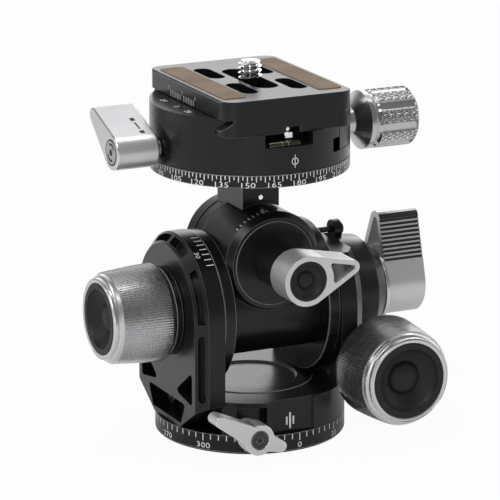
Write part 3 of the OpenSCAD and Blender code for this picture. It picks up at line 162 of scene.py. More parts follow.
def sizes():
    """The sizes that the panel shows."""
    return bpy.context.scene.geared_head_sizes


def colours():
    """The colours that the panel shows."""
    return bpy.context.scene.geared_head_colours


# Writing of node trees

class Value:
    """A node socket that can be used in Python sums."""

    def __init__(self, nodes, socket):
        self.nodes = nodes
        self.socket = socket

    def _sum(self, operation, first, second):
        return self.nodes.node("ShaderNodeMath", {"operation": operation}, {0: first, 1: second})

    def __add__(self, other):
        return self._sum("ADD", self, other)

    def __radd__(self, other):
        return self._sum("ADD", other, self)

    def __sub__(self, other):
        return self._sum("SUBTRACT", self, other)

    def __rsub__(self, other):
        return self._sum("SUBTRACT", other, self)

    def __mul__(self, other):
        return self._sum("MULTIPLY", self, other)

    def __rmul__(self, other):
        return self._sum("MULTIPLY", other, self)

    def __gt__(self, other):
        return self._sum("GREATER_THAN", self, other)


class Nodes:
    """A node tree that is written node by node."""

    def __init__(self, tree):
        self.tree = tree

    def put(self, socket, value):
        """Links a value to a socket, or sets the socket to it."""
        if isinstance(value, Value):
            self.tree.links.new(value.socket, socket)
        else:
            socket.default_value = value

    def node(self, kind, settings=None, inputs=None, output=0):
        """Adds a node with its settings and its sockets' values, and gives one of its outputs."""
        made = self.tree.nodes.new(kind)
        for key, value in (settings or {}).items():
            setattr(made, key, value)
        for key, value in (inputs or {}).items():
            self.put(made.inputs[key], value)
        return Value(self, made.outputs[output])

    def span(self, value, low, high, to_low, to_high, kind="LINEAR"):
        """Goes from to_low to to_high where the value goes from low to high, and stays there outside."""
        limits = {"From Min": low, "From Max": high, "To Min": to_low, "To Max": to_high}
        return self.node("ShaderNodeMapRange", {"interpolation_type": kind}, {"Value": value, **limits})

    def along(self, where, direction):
        """How far a point lies in a direction."""
        return self.node("ShaderNodeVectorMath", {"operation": "DOT_PRODUCT"},
                         {0: where, 1: direction}, "Value")

    def ray(self, kind):
        """One when the light path is of this kind, else zero."""
        return self.node("ShaderNodeLightPath", None, None, kind)

    def mirrored(self):
        """One when polished metal or glass looks at this, else zero."""
        return self.ray("Is Glossy Ray") + self.ray("Is Transmission Ray")


class Finish(Nodes):
    """One material, written round its Principled shader."""

    def __init__(self, name):
        self.material = bpy.data.materials.new(name)
        self.material.use_nodes = True
        super().__init__(self.material.node_tree)
        self.shader = self.tree.nodes["Principled BSDF"]

    def shade(self, **values):
        """Sets or links sockets of the shader, by their names in lower case."""
        for key, value in values.items():
            self.put(self.shader.inputs[key.replace("_", " ").title().replace("Ior", "IOR")], value)

    def place(self, centre=(0, 0, 0)):
        """Object coordinates, moved so that centre is the origin."""
        where = self.node("ShaderNodeTexCoord", output="Object")
        return self.node("ShaderNodeMapping", None, {"Vector": where, "Location": [-c * MM for c in centre]})

    def noise(self, where, scale, detail=3.0, roughness=0.55):
        """Noise from zero to one. scale is in turns of the pattern a metre."""
        return self.node("ShaderNodeTexNoise", None,
                         {"Vector": where, "Scale": scale, "Detail": detail, "Roughness": roughness}, "Fac")

    def colour(self, share, first, second):
        """Base colour between two colours."""
        mixed = self.node("ShaderNodeMix", {"data_type": "RGBA"},
                          {"Factor": share, "A": (*first, 1), "B": (*second, 1)}, 2)
        self.shade(base_color=mixed)

    def mottled(self, pattern, low, high, first, second):
        """Base colour that goes from first to second where the pattern goes from low to high."""
        self.colour(self.span(pattern, low, high, 0, 1), first, second)

    def bump(self, height, distance, strength):
        self.shade(normal=self.node("ShaderNodeBump", None,
                                    {"Height": height, "Distance": distance, "Strength": strength}, "Normal"))

    def turning_lines(self, centre, axis):
        """Fine lines left by a lathe: noise that runs round the axis through centre."""
        where = self.place(centre)
        along = self.node("ShaderNodeSeparateXYZ", None, {0: where}, axis)
        flat = {"X": (0, 1, 1), "Y": (1, 0, 1), "Z": (1, 1, 0)}[axis]
        across = self.node("ShaderNodeVectorMath", {"operation": "MULTIPLY"}, {0: where, 1: flat})
        radius = self.node("ShaderNodeVectorMath", {"operation": "LENGTH"}, {0: across}, "Value")
        return self.noise(self.node("ShaderNodeCombineXYZ", None, {"X": along, "Y": radius}), 2600.0, 2.0, 0.6)


def tint(colour, factor):
    """A colour made brighter or darker."""
    return tuple(min(1.0, c * factor) for c in colour)


FINISHES = {}


def anodised(name, factor=1.0, rough=0.36, lines=None, blast=1.0):
    """Black anodised aluminium: fine blasted grain, or lathe lines round an axis."""
    f = Finish(name)
    colour = tint(colours().anodised, factor)
    where = f.place()
    grain = f.noise(where, 5200.0, 2.0, 0.7)
    f.shade(specular_ior_level=0.26, coat_weight=0.4, coat_roughness=0.2, coat_ior=1.25)
    f.mottled(f.noise(where, 55.0, 4.0), 0.3, 0.7, tint(colour, 0.93), tint(colour, 1.08))
    rough += f.span(f.noise(where, 240.0, 5.0, 0.65), 0.35, 0.7, -0.02, 0.025)
    if lines:
        marks = f.turning_lines(*lines)
        rough += f.span(marks, 0.3, 0.7, -0.035, 0.035)
        f.bump(marks * 0.7 + grain * 0.3, 0.006 * MM, 0.45 * blast)
    else:
        f.bump(grain, 0.008 * MM, 0.5 * blast)
    f.shade(roughness=rough)
    return f.material


def bright(name, factor=1.0, rough=0.30, lines=None, metal=1.0, grained=1.0):
    """Clear anodised aluminium, satin."""
    f = Finish(name)
    colour = tint(colours().aluminium, factor)
    where = f.place()
    grain = f.noise(where, 6200.0, 2.0, 0.7)
    f.shade(metallic=metal)
    f.mottled(f.noise(where, 90.0, 3.0), 0.35, 0.65, tint(colour, 0.965), tint(colour, 1.02))
    rough += f.span(f.noise(where, 300.0, 5.0, 0.7), 0.35, 0.7, -0.012, 0.018)
    if lines:
        marks = f.turning_lines(*lines)
        rough += f.span(marks, 0.3, 0.7, -0.02, 0.02)
        f.bump(marks * 0.8 + grain * 0.2, 0.003 * MM, 0.35)
    else:
        f.bump(grain, 0.004 * MM, 0.35 * grained)
    f.shade(roughness=rough)
    return f.material


def turned_metal(name, colour, rough):
    """Turned steel or bronze, with faint stains."""
    f = Finish(name)
    where = f.place()
    f.mottled(f.noise(where, 160.0, 4.0), 0.35, 0.7, tint(colour, 1.05), tint(colour, 0.82))
    f.shade(metallic=1.0, roughness=rough + f.span(f.noise(where, 700.0, 4.0), 0.3, 0.7, -0.05, 0.06))
    f.bump(f.noise(where, 3000.0, 3.0), 0.01 * MM, 0.4)
    return f.material


def plated(name):
    """Chrome plating with a trace of polish marks."""
    f = Finish(name)
    where = f.place()
    f.colour(f.noise(where, 260.0), tint(colours().chrome, 0.97), tint(colours().chrome, 1.03))
    f.shade(metallic=1.0, roughness=0.07 + f.span(f.noise(where, 900.0, 5.0, 0.7), 0.4, 0.75, 0.0, 0.07))
    f.bump(f.noise(where, 420.0, 2.0), 0.01 * MM, 0.12)
    return f.material


def moulded(name, colour, rough, coat=0.0):
    """Moulded black caps: fine grain, faint dust."""
    f = Finish(name)
    where = f.place()
    f.mottled(f.noise(where, 420.0, 6.0, 0.7), 0.4, 0.8, colour, tint(colour, 1.6))
    f.shade(specular_ior_level=0.3, coat_weight=coat, coat_roughness=0.12,
            roughness=rough + f.span(f.noise(where, 900.0, 4.0), 0.3, 0.7, -0.04, 0.05))
    f.bump(f.noise(where, 4200.0, 2.0), 0.01 * MM, 0.35)
    return f.material


def grip_rubber(name):
    """Brown ribbed rubber: crumb grain and fine cross marks."""
    f = Finish(name)
    where = f.place()
    crumb = f.noise(where, 1500.0, 4.0, 0.7)
    cross = f.node("ShaderNodeTexWave", {"bands_direction": "Y", "wave_profile": "SIN"},
                   {"Vector": where, "Scale": 640.0, "Distortion": 0.6, "Detail": 1.0}, "Fac")
    colour = colours().pad
    f.mottled(f.noise(where, 140.0, 4.0) * 0.5 + crumb * 0.3 + cross * 0.2, 0.35, 0.68,
              tint(colour, 0.72), tint(colour, 1.18))
    f.shade(roughness=0.74 + f.span(crumb, 0.3, 0.7, -0.08, 0.08), ior=1.48)
    f.bump(crumb * 0.5 + cross * 0.5, 0.06 * MM, 0.6)
    return f.material


def scale_paint(name, glow=0.0):
    """Paint laid in the engraved lines, a little uneven. glow makes it give off light of its own, a painted light
    that keeps it white in shade.
    """
    f = Finish(name)
    patch = f.noise(f.place(), 1900.0, 4.0, 0.7)
    f.mottled(patch, 0.35, 0.7, tint(colours().paint, 1.04), tint(colours().paint, 0.74))
    f.shade(roughness=0.58 + f.span(patch, 0.3, 0.7, -0.06, 0.08),
            emission_color=(1, 1, 1, 1), emission_strength=glow)
    f.bump(patch, 0.01 * MM, 0.4)
    return f.material


def level_liquid(name, factor):
    """Liquid behind clear glass, which is dark where nothing lights it from behind."""
    f = Finish(name)
    swirl = f.noise(f.place(), 380.0, 3.0)
    f.mottled(swirl, 0.3, 0.7, tint(colours().level, 0.5 * factor), tint(colours().level, factor))
    f.shade(roughness=0.1 + f.span(swirl, 0.3, 0.7, -0.03, 0.04), ior=1.5, coat_weight=1.0, coat_roughness=0.03)
    f.bump(swirl, 0.01 * MM, 0.1)
    return f.material


def dark_hollow(name):
    """Near-black metal: painted shade in place of slots, holes and sockets, and the dark print of the lever's
    symbol.
    """
    f = Finish(name)
    where = f.place()
    f.colour(f.noise(where, 700.0), (0.006, 0.006, 0.006), (0.016, 0.016, 0.017))
    f.shade(roughness=0.6 + f.span(f.noise(where, 900.0), 0.3, 0.7, -0.08, 0.08))
    f.bump(f.noise(where, 2600.0), 0.01 * MM, 0.3)
    return f.material


def make_finishes():
    """Writes every material, under the short names that the pieces use."""
    cross_axis = (0, 0, TILT_Z)
    tilt_knob, clamp_knob = middle("tilt_knob"), middle("clamp_knob")
    FINISHES.update({
        "casting": anodised("Black anodised, blasted", 1.0, 0.31),
        # the broken edges take a much lighter copy of the black anodising: a painted highlight on the chamfers
        "casting_edge_highlight": anodised("Black anodised, broken edge, painted highlight", 28.0, 0.28, blast=0.4),
        "turned_z": anodised("Black anodised, turned upright", 1.0, 0.29, ((0, 0, 0), "Z")),
        "turned_x": anodised("Black anodised, turned across", 1.0, 0.27, (cross_axis, "X")),
        "turned_y": anodised("Black anodised, turned to the front", 1.3, 0.27, ((0, 0, ROLL_Z), "Y")),
        "satin": bright("Satin aluminium, blasted", 1.0, 0.36, metal=0.75),
        # a lighter copy of the satin aluminium for broken edges: a painted highlight
        "satin_edge_highlight": bright("Satin aluminium, broken edge, painted highlight", 1.15, 0.22),
        # a much darker copy of the satin aluminium, laid in grooves and on grip lines: painted shade
        "satin_groove_shade": bright("Satin aluminium, painted groove shade", 0.10, 0.5),
        # a lighter copy of the satin aluminium on the knob's rib crests, a painted highlight, and a darker one
        # between the ribs, painted shade
        "rib": bright("Satin aluminium, rib crests, painted highlight", 1.3, 0.4, metal=0.35, grained=0.05),
        "rib_groove_shade": bright("Satin aluminium, painted shade between the ribs", 0.3, 0.45, metal=0.35, grained=0.05),
        "satin_x": bright("Satin aluminium, turned across", 1.0, 0.27, (cross_axis, "X")),
        "satin_y": bright("Satin aluminium, turned to the front", 1.0, 0.27,
                          ((tilt_knob.x, 0, tilt_knob.z), "Y")),
        "satin_clamp": bright("Satin aluminium, clamp knob", 0.85, 0.24, ((0, 0, clamp_knob.z), "X")),
        "steel": turned_metal("Turned steel", colours().steel, 0.32),
        "dark_steel": turned_metal("Blackened steel", tint(colours().steel, 0.16), 0.36),
        "bronze": turned_metal("Turned bronze", colours().bronze, 0.34),
        "chrome": plated("Chrome plate"),
        "cap": moulded("Moulded cap, matt rim", colours().cap, 0.5),
        "cap_gloss": moulded("Moulded cap, polished dish", tint(colours().cap, 0.6), 0.2, 0.5),
        "fibre": moulded("Brake fibre", (0.16, 0.11, 0.07), 0.8),
        "pad": grip_rubber("Ribbed grip rubber"),
        "paint": scale_paint("Scale paint"),
        # the post's dot glows a little so that it stays white in the clamp's shade: painted light
        "dot": scale_paint("White dot, glowing", 0.5),
        # the vial's liquid painted near black, painted shade where nothing lights it, and its lines painted lit
        "level": level_liquid("Level liquid, painted dark where unlit", 0.03),
        "level_line": level_liquid("Level liquid, lit edge", 0.7),
        "hollow": dark_hollow("Near black, painted shade and dark print"),
    })


# Writing of meshes

UPRIGHT = Matrix.Identity(4)
TO_FRONT = Matrix.Rotation(math.radians(90), 4, "X")
TO_LEFT = Matrix.Rotation(math.radians(-90), 4, "Y")
TO_RIGHT = Matrix.Rotation(math.radians(90), 4, "Y")
# Z along X, with X along Y; a mark on a face that looks to the left; and one on top that is read from the left
ALONG_X = Matrix(((0, 0, 1, 0), (1, 0, 0, 0), (0, 1, 0, 0), (0, 0, 0, 1)))
ON_LEFT_FACE = Matrix(((0, 0, -1, 0), (-1, 0, 0, 0), (0, 1, 0, 0), (0, 0, 0, 1)))
READ_FROM_LEFT = Matrix(((0, 1, 0, 0), (-1, 0, 0, 0), (0, 0, 1, 0), (0, 0, 0, 1)))


def at(x, y, z, turn=UPRIGHT):
    """A place in millimetres with a turn, for meshes written in metres."""
    return Matrix.Translation((x * MM, y * MM, z * MM)) @ turn


def towards(degrees):
    """Unit vector across X, at an angle from +Y towards +Z."""
    return Vector((0, math.cos(math.radians(degrees)), math.sin(math.radians(degrees))))


def link(name, mesh):
    """A new object of the scene from a mesh."""
    piece = bpy.data.objects.new(name, mesh)
    bpy.context.scene.collection.objects.link(piece)
    return piece


def mesh_object(name, verts, faces, place=UPRIGHT, marks=None, finish=None):
    """An object at the origin, from points in millimetres. marks gives each face's finish number."""
    mesh = bpy.data.meshes.new(name)
    mesh.from_pydata([tuple(c * MM for c in v) for v in verts], [], faces)
    if marks:
        mesh.polygons.foreach_set("material_index", marks)
    if finish:
        mesh.materials.append(FINISHES[finish])
    mesh.transform(place)
    return link(name, mesh)


def tidy(mesh, smooth, join=0.0005, outward=True):
    """Joins doubles, turns the faces outwards and sets which edges stay sharp."""
    work = bmesh.new()
    work.from_mesh(mesh)
    bmesh.ops.remove_doubles(work, verts=work.verts, dist=join * MM)
    bmesh.ops.dissolve_degenerate(work, edges=work.edges, dist=join * MM)
    if outward:
        bmesh.ops.recalc_face_normals(work, faces=work.faces)
    work.to_mesh(mesh)
    work.free()
    mesh.shade_smooth()
    mesh.set_sharp_from_angle(angle=math.radians(smooth))


def circle(radius, steps=36):
    """Points of a circle round the origin."""
    turns = [2 * math.pi * i / steps for i in range(steps)]
    return [(radius * math.cos(turn), radius * math.sin(turn)) for turn in turns]


def arc(centre, radius, start, end, steps):
    """Points of an arc in a profile, angles in degrees."""
    turns = [math.radians(start + (end - start) * i / steps) for i in range(steps + 1)]
    return [(centre[0] + radius * math.cos(turn), centre[1] + radius * math.sin(turn)) for turn in turns]


def quads(rows, wide, close_rows=False, close_columns=False):
    """Faces of a grid whose points are written row by row, which may meet itself at its ends or its sides."""
    faces = []
    for row in range(rows if close_rows else rows - 1):
        here, there = row * wide, (row + 1) % rows * wide
        for i in range(wide if close_columns else wide - 1):
            j = (i + 1) % wide
            faces.append((here + i, here + j, there + j, there + i))
    return faces


def turned(name, profile, steps, smooth, place=UPRIGHT, marks=None, finish=None):
    """An object turned round Z. profile is (radius, height) from one end to the other, or a closed ring
    where it never meets the axis. marks gives the finish number of each profile step."""
    verts, rings, faces, numbers = [], [], [], []
    for radius, height in profile:
        if radius < 1e-9:
            rings.append([len(verts)] * steps)
            verts.append((0, 0, height))
        else:
            rings.append(list(range(len(verts), len(verts) + steps)))
            verts += [(x, y, height) for x, y in circle(radius, steps)]
    pairs = list(zip(rings, rings[1:]))
    if profile[0][0] > 1e-9:
        pairs.append((rings[-1], rings[0]))
    for number, (low, high) in enumerate(pairs):
        for i in range(steps):
            j = (i + 1) % steps
            corner = [low[i], low[j], high[j], high[i]]
            ring = [v for k, v in enumerate(corner) if v != corner[k - 1]]
            if len(ring) > 2:
                faces.append(ring)
                numbers.append(marks[number] if marks else 0)
    piece = mesh_object(name, verts, faces, place, numbers, finish)
    tidy(piece.data, smooth)
    return piece


def finished(piece, node, finishes=(), replaces=()):
    """Gives a plain mesh object its finishes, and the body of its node."""
    if finishes:
        piece.data.materials.clear()
        for finish in finishes:
            piece.data.materials.append(FINISHES[finish])
    body = BODY_OF[node]
    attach(piece, body)
    if replaces:
        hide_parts(*replaces)


def dress(node, finishes, edge, width=None, paint=None):
    """A copy of a CAD node with joined faces and broken edges, which stands for the node. paint picks a face's
    finish by the face's centre in millimetres and its normal."""
    sharp = math.radians(32)
    mesh = bpy.data.meshes.new(node + "_dressed")
    work = bmesh.new()
    work.from_mesh(frame["nodes"][node].data)
    bmesh.ops.remove_doubles(work, verts=work.verts, dist=0.0008 * MM)
    bmesh.ops.dissolve_degenerate(work, edges=work.edges, dist=0.0008 * MM)
    bmesh.ops.dissolve_limit(work, angle_limit=math.radians(0.4), verts=work.verts, edges=work.edges)
    for face in work.faces:
        face.material_index = paint(face.calc_center_median() / MM, face.normal) if paint else 0
        face.smooth = True
    work.to_mesh(mesh)
    work.free()
    if "custom_normal" in mesh.attributes:
        mesh.attributes.remove(mesh.attributes["custom_normal"])
    for finish in (*finishes, edge):
        mesh.materials.append(FINISHES[finish])
    mesh.set_sharp_from_angle(angle=sharp)
    piece = link(node + "_body", mesh)
    bevel = piece.modifiers.new("Broken edge", "BEVEL")
    bevel.width = width or sizes().edge
    bevel.segments = 2
    bevel.limit_method = "ANGLE"
    bevel.angle_limit = sharp
    bevel.harden_normals = True
    bevel.use_clamp_overlap = True
    bevel.miter_outer = "MITER_ARC"
    # the chamfer faces take the edge finish, which on the castings and satin parts is a lighter copy of their
    # finish: a painted highlight on the broken edges
    bevel.material = len(finishes)
    made_plain(piece)
    finished(piece, node, replaces=(node,))


def made_plain(piece):
    """Bakes a piece's modifiers into its mesh and removes them."""
    bpy.context.view_layer.update()
    depsgraph = bpy.context.evaluated_depsgraph_get()
    plain = bpy.data.meshes.new_from_object(piece.evaluated_get(depsgraph), preserve_all_data_layers=True,
                                            depsgraph=depsgraph)
    piece.modifiers.clear()
    piece.data = plain


def joined(name, pieces):
    """One object from several plain mesh objects that share a body."""
    work = bmesh.new()
    materials = []
    for piece in pieces:
        start = len(work.faces)
        lookup = []
        for material in piece.data.materials:
            if material not in materials:
                materials.append(material)
            lookup.append(materials.index(material))
        work.from_mesh(piece.data)
        work.faces.ensure_lookup_table()
        for face in work.faces[start:]:
            face.material_index = lookup[face.material_index]
        bpy.data.objects.remove(piece)
    mesh = bpy.data.meshes.new(name)
    work.to_mesh(mesh)
    work.free()
    for material in materials:
        mesh.materials.append(material)
    return link(name, mesh)


# Repeats by Geometry Nodes

def repeat_tree():
    """Repeats the object's own mesh round Z and along a line, with every so-many one full length."""
    title = "Repeat round and along"
    known = bpy.data.node_groups.get(title)
    if known:
        return known
    tree = bpy.data.node_groups.new(title, "GeometryNodeTree")

    def socket(name, kind, value=None, side="INPUT"):
        made = tree.interface.new_socket(name, in_out=side, socket_type="NodeSocket" + kind)
        if value is not None:
            made.default_value = value

    socket("Geometry", "Geometry")
    socket("Count", "Int", 12)
    socket("Start angle", "Float", 0.0)
    socket("Angle step", "Float", 0.0)
    socket("Line step", "Vector", (0, 0, 0))
    socket("Long every", "Int", 1)
    socket("Short share", "Float", 1.0)
    socket("Join distance", "Float", 0.0)
    socket("Finish", "Material")
    socket("Geometry", "Geometry", side="OUTPUT")
    group = Nodes(tree)
    given = {output.name: Value(group, output) for output in tree.nodes.new("NodeGroupInput").outputs}
    index = group.node("GeometryNodeInputIndex")
    where = group.node("ShaderNodeVectorMath", {"operation": "SCALE"}, {0: given["Line step"], "Scale": index})
    points = group.node("GeometryNodePoints", None, {"Count": given["Count"], "Position": where})
    turn = group.node("ShaderNodeMath", {"operation": "MULTIPLY_ADD"},
                      {0: index, 1: given["Angle step"], 2: given["Start angle"]})
    euler = group.node("ShaderNodeCombineXYZ", None, {"Z": turn})
    rotation = group.node("FunctionNodeEulerToRotation", None, {"Euler": euler})
    since_long = group.node("ShaderNodeMath", {"operation": "FLOORED_MODULO"},
                            {0: index, 1: given["Long every"]})
    share = group.node("ShaderNodeMix", {"data_type": "FLOAT"},
                       {0: since_long > 0.5, 2: 1.0, 3: given["Short share"]})
    scale = group.node("ShaderNodeCombineXYZ", None, {"X": 1.0, "Y": 1.0, "Z": share})
    copies = group.node("GeometryNodeInstanceOnPoints", None,
                        {"Points": points, "Instance": given["Geometry"], "Rotation": rotation, "Scale": scale})
    real = group.node("GeometryNodeRealizeInstances", None, {"Geometry": copies})
    welded = group.node("GeometryNodeMergeByDistance", None,
                        {"Geometry": real, "Distance": given["Join distance"]})
    painted = group.node("GeometryNodeSetMaterial", None, {"Geometry": welded, "Material": given["Finish"]})
    group.put(tree.nodes.new("NodeGroupOutput").inputs[0], painted)
    return tree


def repeated(unit, place=UPRIGHT, finish="paint", **values):
    """Runs the repeat tree on a unit piece and leaves a plain mesh in its place."""
    modifier = unit.modifiers.new("Repeat", "NODES")
    modifier.node_group = repeat_tree()
    names = {item.name: item.identifier for item in modifier.node_group.interface.items_tree
             if item.item_type == "SOCKET" and item.in_out == "INPUT"}
    for key, value in {"finish": FINISHES[finish], **values}.items():
        modifier[names[key.replace("_", " ").capitalize()]] = value
    made_plain(unit)
    unit.data.transform(place)
    return unit


def repeated_by_degrees(unit, place, start, step, **values):
    """Repeats a unit piece round Z, with its angles in degrees."""
    return repeated(unit, place, start_angle=math.radians(start), angle_step=math.radians(step), **values)


# Scales and marks

def tick_on_ring(name, radius, length):
    """A painted line on a ring's side, its top at height zero, on the +X side."""
    half = sizes().tick_width / MM / 2
    low, high = radius - SUNK, radius + PROUD
    outline = ((low, -half), (high, -half), (high, half), (low, half))
    verts = [(x, y, z) for z in (-length, 0) for x, y in outline]
    faces = [(0, 3, 2, 1), (4, 5, 6, 7), (0, 1, 5, 4), (1, 2, 6, 5), (2, 3, 7, 6), (3, 0, 4, 7)]
    return mesh_object(name, verts, faces)


def flat_text(words, scale):
    """A filled text as a flat mesh, centred, in millimetres: points and faces."""
    height, stretch = NUMBERS[scale]
    curve = bpy.data.curves.new("number", "FONT")
    curve.body = words
    # figures are as high as 0.7 of the font's size
    curve.size = height / 0.7
    curve.align_x = "CENTER"
    curve.align_y = "CENTER"
    curve.resolution_u = 3
    curve.space_character = 1.06
    text = link("number", curve)
    bpy.context.view_layer.update()
    depsgraph = bpy.context.evaluated_depsgraph_get()
    mesh = bpy.data.meshes.new_from_object(text.evaluated_get(depsgraph))
    points = [(v.co.x * stretch, v.co.y, 0) for v in mesh.vertices]
    faces = [tuple(p.vertices) for p in mesh.polygons]
    bpy.data.objects.remove(text)
    bpy.data.meshes.remove(mesh)
    return points, faces


def numbers_on_ring(scale, words_at, radius, z, place=UPRIGHT):
    """Numbers bent round a ring. words_at lists (words, angle in degrees right of the front)."""
    verts, faces = [], []
    out = radius + PROUD + 0.005
    for words, angle in words_at:
        points, cells = flat_text(words, scale)
        start = len(verts)
        for x, y, _ in points:
            turn = math.radians(angle) + x / radius
            verts.append((out * math.sin(turn), -out * math.cos(turn), z + y))
        faces += [tuple(start + i for i in cell) for cell in cells]
    return mesh_object(scale + "_numbers", verts, faces, place, finish="paint")


def ring_scale(scale, node, radius, zero, lines, numbers):
    """A scale all round an upright ring, which starts at zero degrees right of the front. lines gives the
    lines' top, length and spacing, every how many one is long, and the share of the short ones; numbers gives
    their height and spacing."""
    top, length, apart, long_every, short_share = lines
    number_z, numbers_apart = numbers
    ticks = repeated_by_degrees(tick_on_ring(scale + "_ticks", radius, length), at(0, 0, top), zero - 90, apart,
                                count=round(360 / apart), long_every=long_every, short_share=short_share)
    words_at = [(str(v), v + zero) for v in range(0, 360, numbers_apart)]
    words = numbers_on_ring(scale, words_at, radius, number_z)
    finished(joined(scale + "_scale", [ticks, words]), node)


def flat_mark(name, shapes, place=UPRIGHT, finish="paint"):
    """Flat polygons, each a list of (x, y) in millimetres, on a place whose Z points out of the surface."""
    verts, faces = [], []
    for shape in shapes:
        start = len(verts)
        verts += [(x, y, 0) for x, y in shape]
        faces.append(tuple(range(start, start + len(shape))))
    return mesh_object(name, verts, faces, place, finish=finish)


def marked(name, node, shapes, place, finish="paint"):
    """Flat polygons that ride with a node."""
    finished(flat_mark(name, shapes, place, finish), node)


def ring_pieces(outer, inner, start=0.0, end=360.0, steps=36):
    """Four-cornered pieces of a flat ring or of part of one."""
    inside, outside = (arc((0, 0), radius, start, end, steps) for radius in (inner, outer))
    return [[a, b, c, d] for a, b, c, d in zip(inside, outside, outside[1:], inside[1:])]


def stroke(x, y, width, height):
    """Corners of an upright rectangle round a point."""
    left, right, low, high = x - width / 2, x + width / 2, y - height / 2, y + height / 2
    return [(left, low), (right, low), (right, high), (left, high)]


# Operators, one for each kind of piece

class HEAD_OT_finishes(bpy.types.Operator):
    """Writes every finish that the pieces use"""
    bl_idname = "geared_head.finishes"
    bl_label = "Finishes"

    def execute(self, context):
        make_finishes()
        return {"FINISHED"}


class HEAD_OT_castings(bpy.types.Operator):
    """Breaks the edges of the black anodised parts"""
    bl_idname = "geared_head.castings"
    bl_label = "Black Anodised Parts"

    def execute(self, context):
        by_finish = {
            "casting": ("yoke_foot", "left_arm", "right_arm", "gear_housing", "tilt_housing", "roll_bracket",
                        "clamp_jaw", "camera_plate"),
            "turned_z": ("base_ring", "centre_cap", "pan_scale_ring", "clamp_body", "base_retainer",
                         "pan_retainer"),
            "turned_x": ("scale_flange", "right_flange", "left_trunnion", "knob_collar"),
            "turned_y": ("front_cap",),
        }
        for finish, nodes in by_finish.items():
            for node in nodes:
                dress(node, (finish,), "casting_edge_highlight")
        return {"FINISHED"}


class HEAD_OT_levers(bpy.types.Operator):
    """Dresses the lock levers and their rings"""
    bl_idname = "geared_head.levers"
    bl_label = "Lock Levers"

    # The grip of the tilt lever: where it faces, and how far its face and its lower end are from the axis
    grip_turn, grip_out, grip_from = 164.53, 8.9, 5.0
    # The roll lever: the length of its head, its hub's radius, how far its slopes lean and how far it is turned
    head_length, hub_r, lean, turned_by = 9.0, 6.8, 21.45, 10.0
    # The grip lines on its slopes: half their width and length, how far behind the front, and how many
    line_half, line_reach, line_in, line_count = 0.17, 4.0, 4.6, 9

    def execute(self, context):
        grip, axis = towards(self.grip_turn), Vector((0, 0, TILT_Z))

        def groove_paint(centre, normal):
            # the grooves of the grip lie a little behind its face; they take the darker satin, painted shade in the
            # grooves
            depth = self.grip_out - (centre - axis).dot(grip)
            return int(0.03 < depth < 0.6 and abs(normal.x) < 0.5 and centre.z > TILT_Z + self.grip_from)

        front = span("roll_lock_lever")[0].y

        def neck_paint(centre, normal):
            return int(centre.y > front + self.head_length - 0.02)

        for node, finishes, width, paint in (
                ("tilt_lock_lever", ("satin", "satin_groove_shade"), 0.16 * MM, groove_paint),
                ("tilt_lock_ring", ("satin_x",), sizes().fine_edge, None),
                ("base_lock_lever", ("satin",), 0.5 * MM, None),
                ("pan_lock_lever", ("satin",), 0.6 * MM, None),
                ("roll_lock_lever", ("satin", "turned_y"), 0.22 * MM, neck_paint)):
            dress(node, finishes, "satin_edge_highlight", width, paint)
        # fine grip lines on the roll lever's two slopes: flat dark stripes laid proud of the smooth surface,
        # painted shade where the grooves would be
        lines = []
        for side, first, pitch in ((1, 4.2, 0.95), (-1, 5.0, 0.72)):
            turn = math.radians(self.turned_by + side * (90 - self.lean))
            out = Vector((math.cos(turn), 0, math.sin(turn)))
            along = Vector((out.z, 0, -out.x))
            start = Vector((0, front + self.line_in, ROLL_Z)) + out * (self.hub_r + 0.02) + along * side * first
            unit = flat_mark("roll_grip", [stroke(0, 0, 2 * self.line_half, 2 * self.line_reach)], finish=None)
            place = at(*start, Matrix((along, (0, 1, 0), out)).transposed().to_4x4())
            lines.append(repeated(unit, place, "satin_groove_shade", count=self.line_count,
                                  line_step=(side * pitch * MM, 0, 0)))
        finished(joined("roll_grip_lines", lines), "roll_lock_lever")
        return {"FINISHED"}


def crest_at(radius, length, z):
    """Radius of a control knob over its ribs."""
    return radius - TAPER * (max(0.0, z - RIB_START) / (length - RIB_END - RIB_START)) ** TAPER_POWER


def knob_sector(radius, length, count, depth):
    """One rib of a control knob, from bore to rim, as a slice round Z whose front is at height length."""
    bore, floor, rib_front = 2.4, length - 4.6, length - RIB_END
    # each row is (radius of the crest, depth of the groove, height)
    rows = [(bore, 0, 0.05), (radius - 3.2, 0, 0.05), (radius - 1.35, 0, 0.05),
            (radius - 0.75, depth * 0.2, 0.35), (radius - 0.25, depth, 0.8), (radius, depth, RIB_START)]
    for share in (0.35, 0.7, 1.0):
        z = RIB_START + (rib_front - RIB_START) * share
        rows.append((crest_at(radius, length, z), depth, z))
    # the bevel in front of the ribs, and then the rim: how far in, and how far before the ribs' end
    bevel = radius - TAPER - depth * 0.95
    rows += [(bevel - inward, 0, rib_front + ahead) for inward, ahead in ((0, 0), (0.28, 0.9), (0.55, 1.15))]
    rim = ((2.35, 1.3), (2.45, 1.42), (2.3, 1.5), (2.3, 2.1), (2.42, 2.35), (2.62, 2.42), (2.74, 2.3),
           (2.86, 2.42), (3.2, 2.46), (3.62, 2.3), (3.7, 1.9))
    rows += [(radius - inward, 0, rib_front + ahead) for inward, ahead in rim]
    rows += [(radius - 3.7, 0, floor), (bore, 0, floor)]
    # each point across is (share of the rib, share of the groove's depth)
    across = ((0.0, 1.0), (0.2, 0.55), (0.36, 0.04), (0.64, 0.04), (0.8, 0.55), (1.0, 1.0))
    verts = []
    for crest, groove, height in rows:
        for share, dip in across:
            r, turn = crest - groove * dip, 2 * math.pi / count * (share - 0.5)
            verts.append((r * math.cos(turn), r * math.sin(turn), height))
    return verts, quads(len(rows), len(across), close_rows=True)


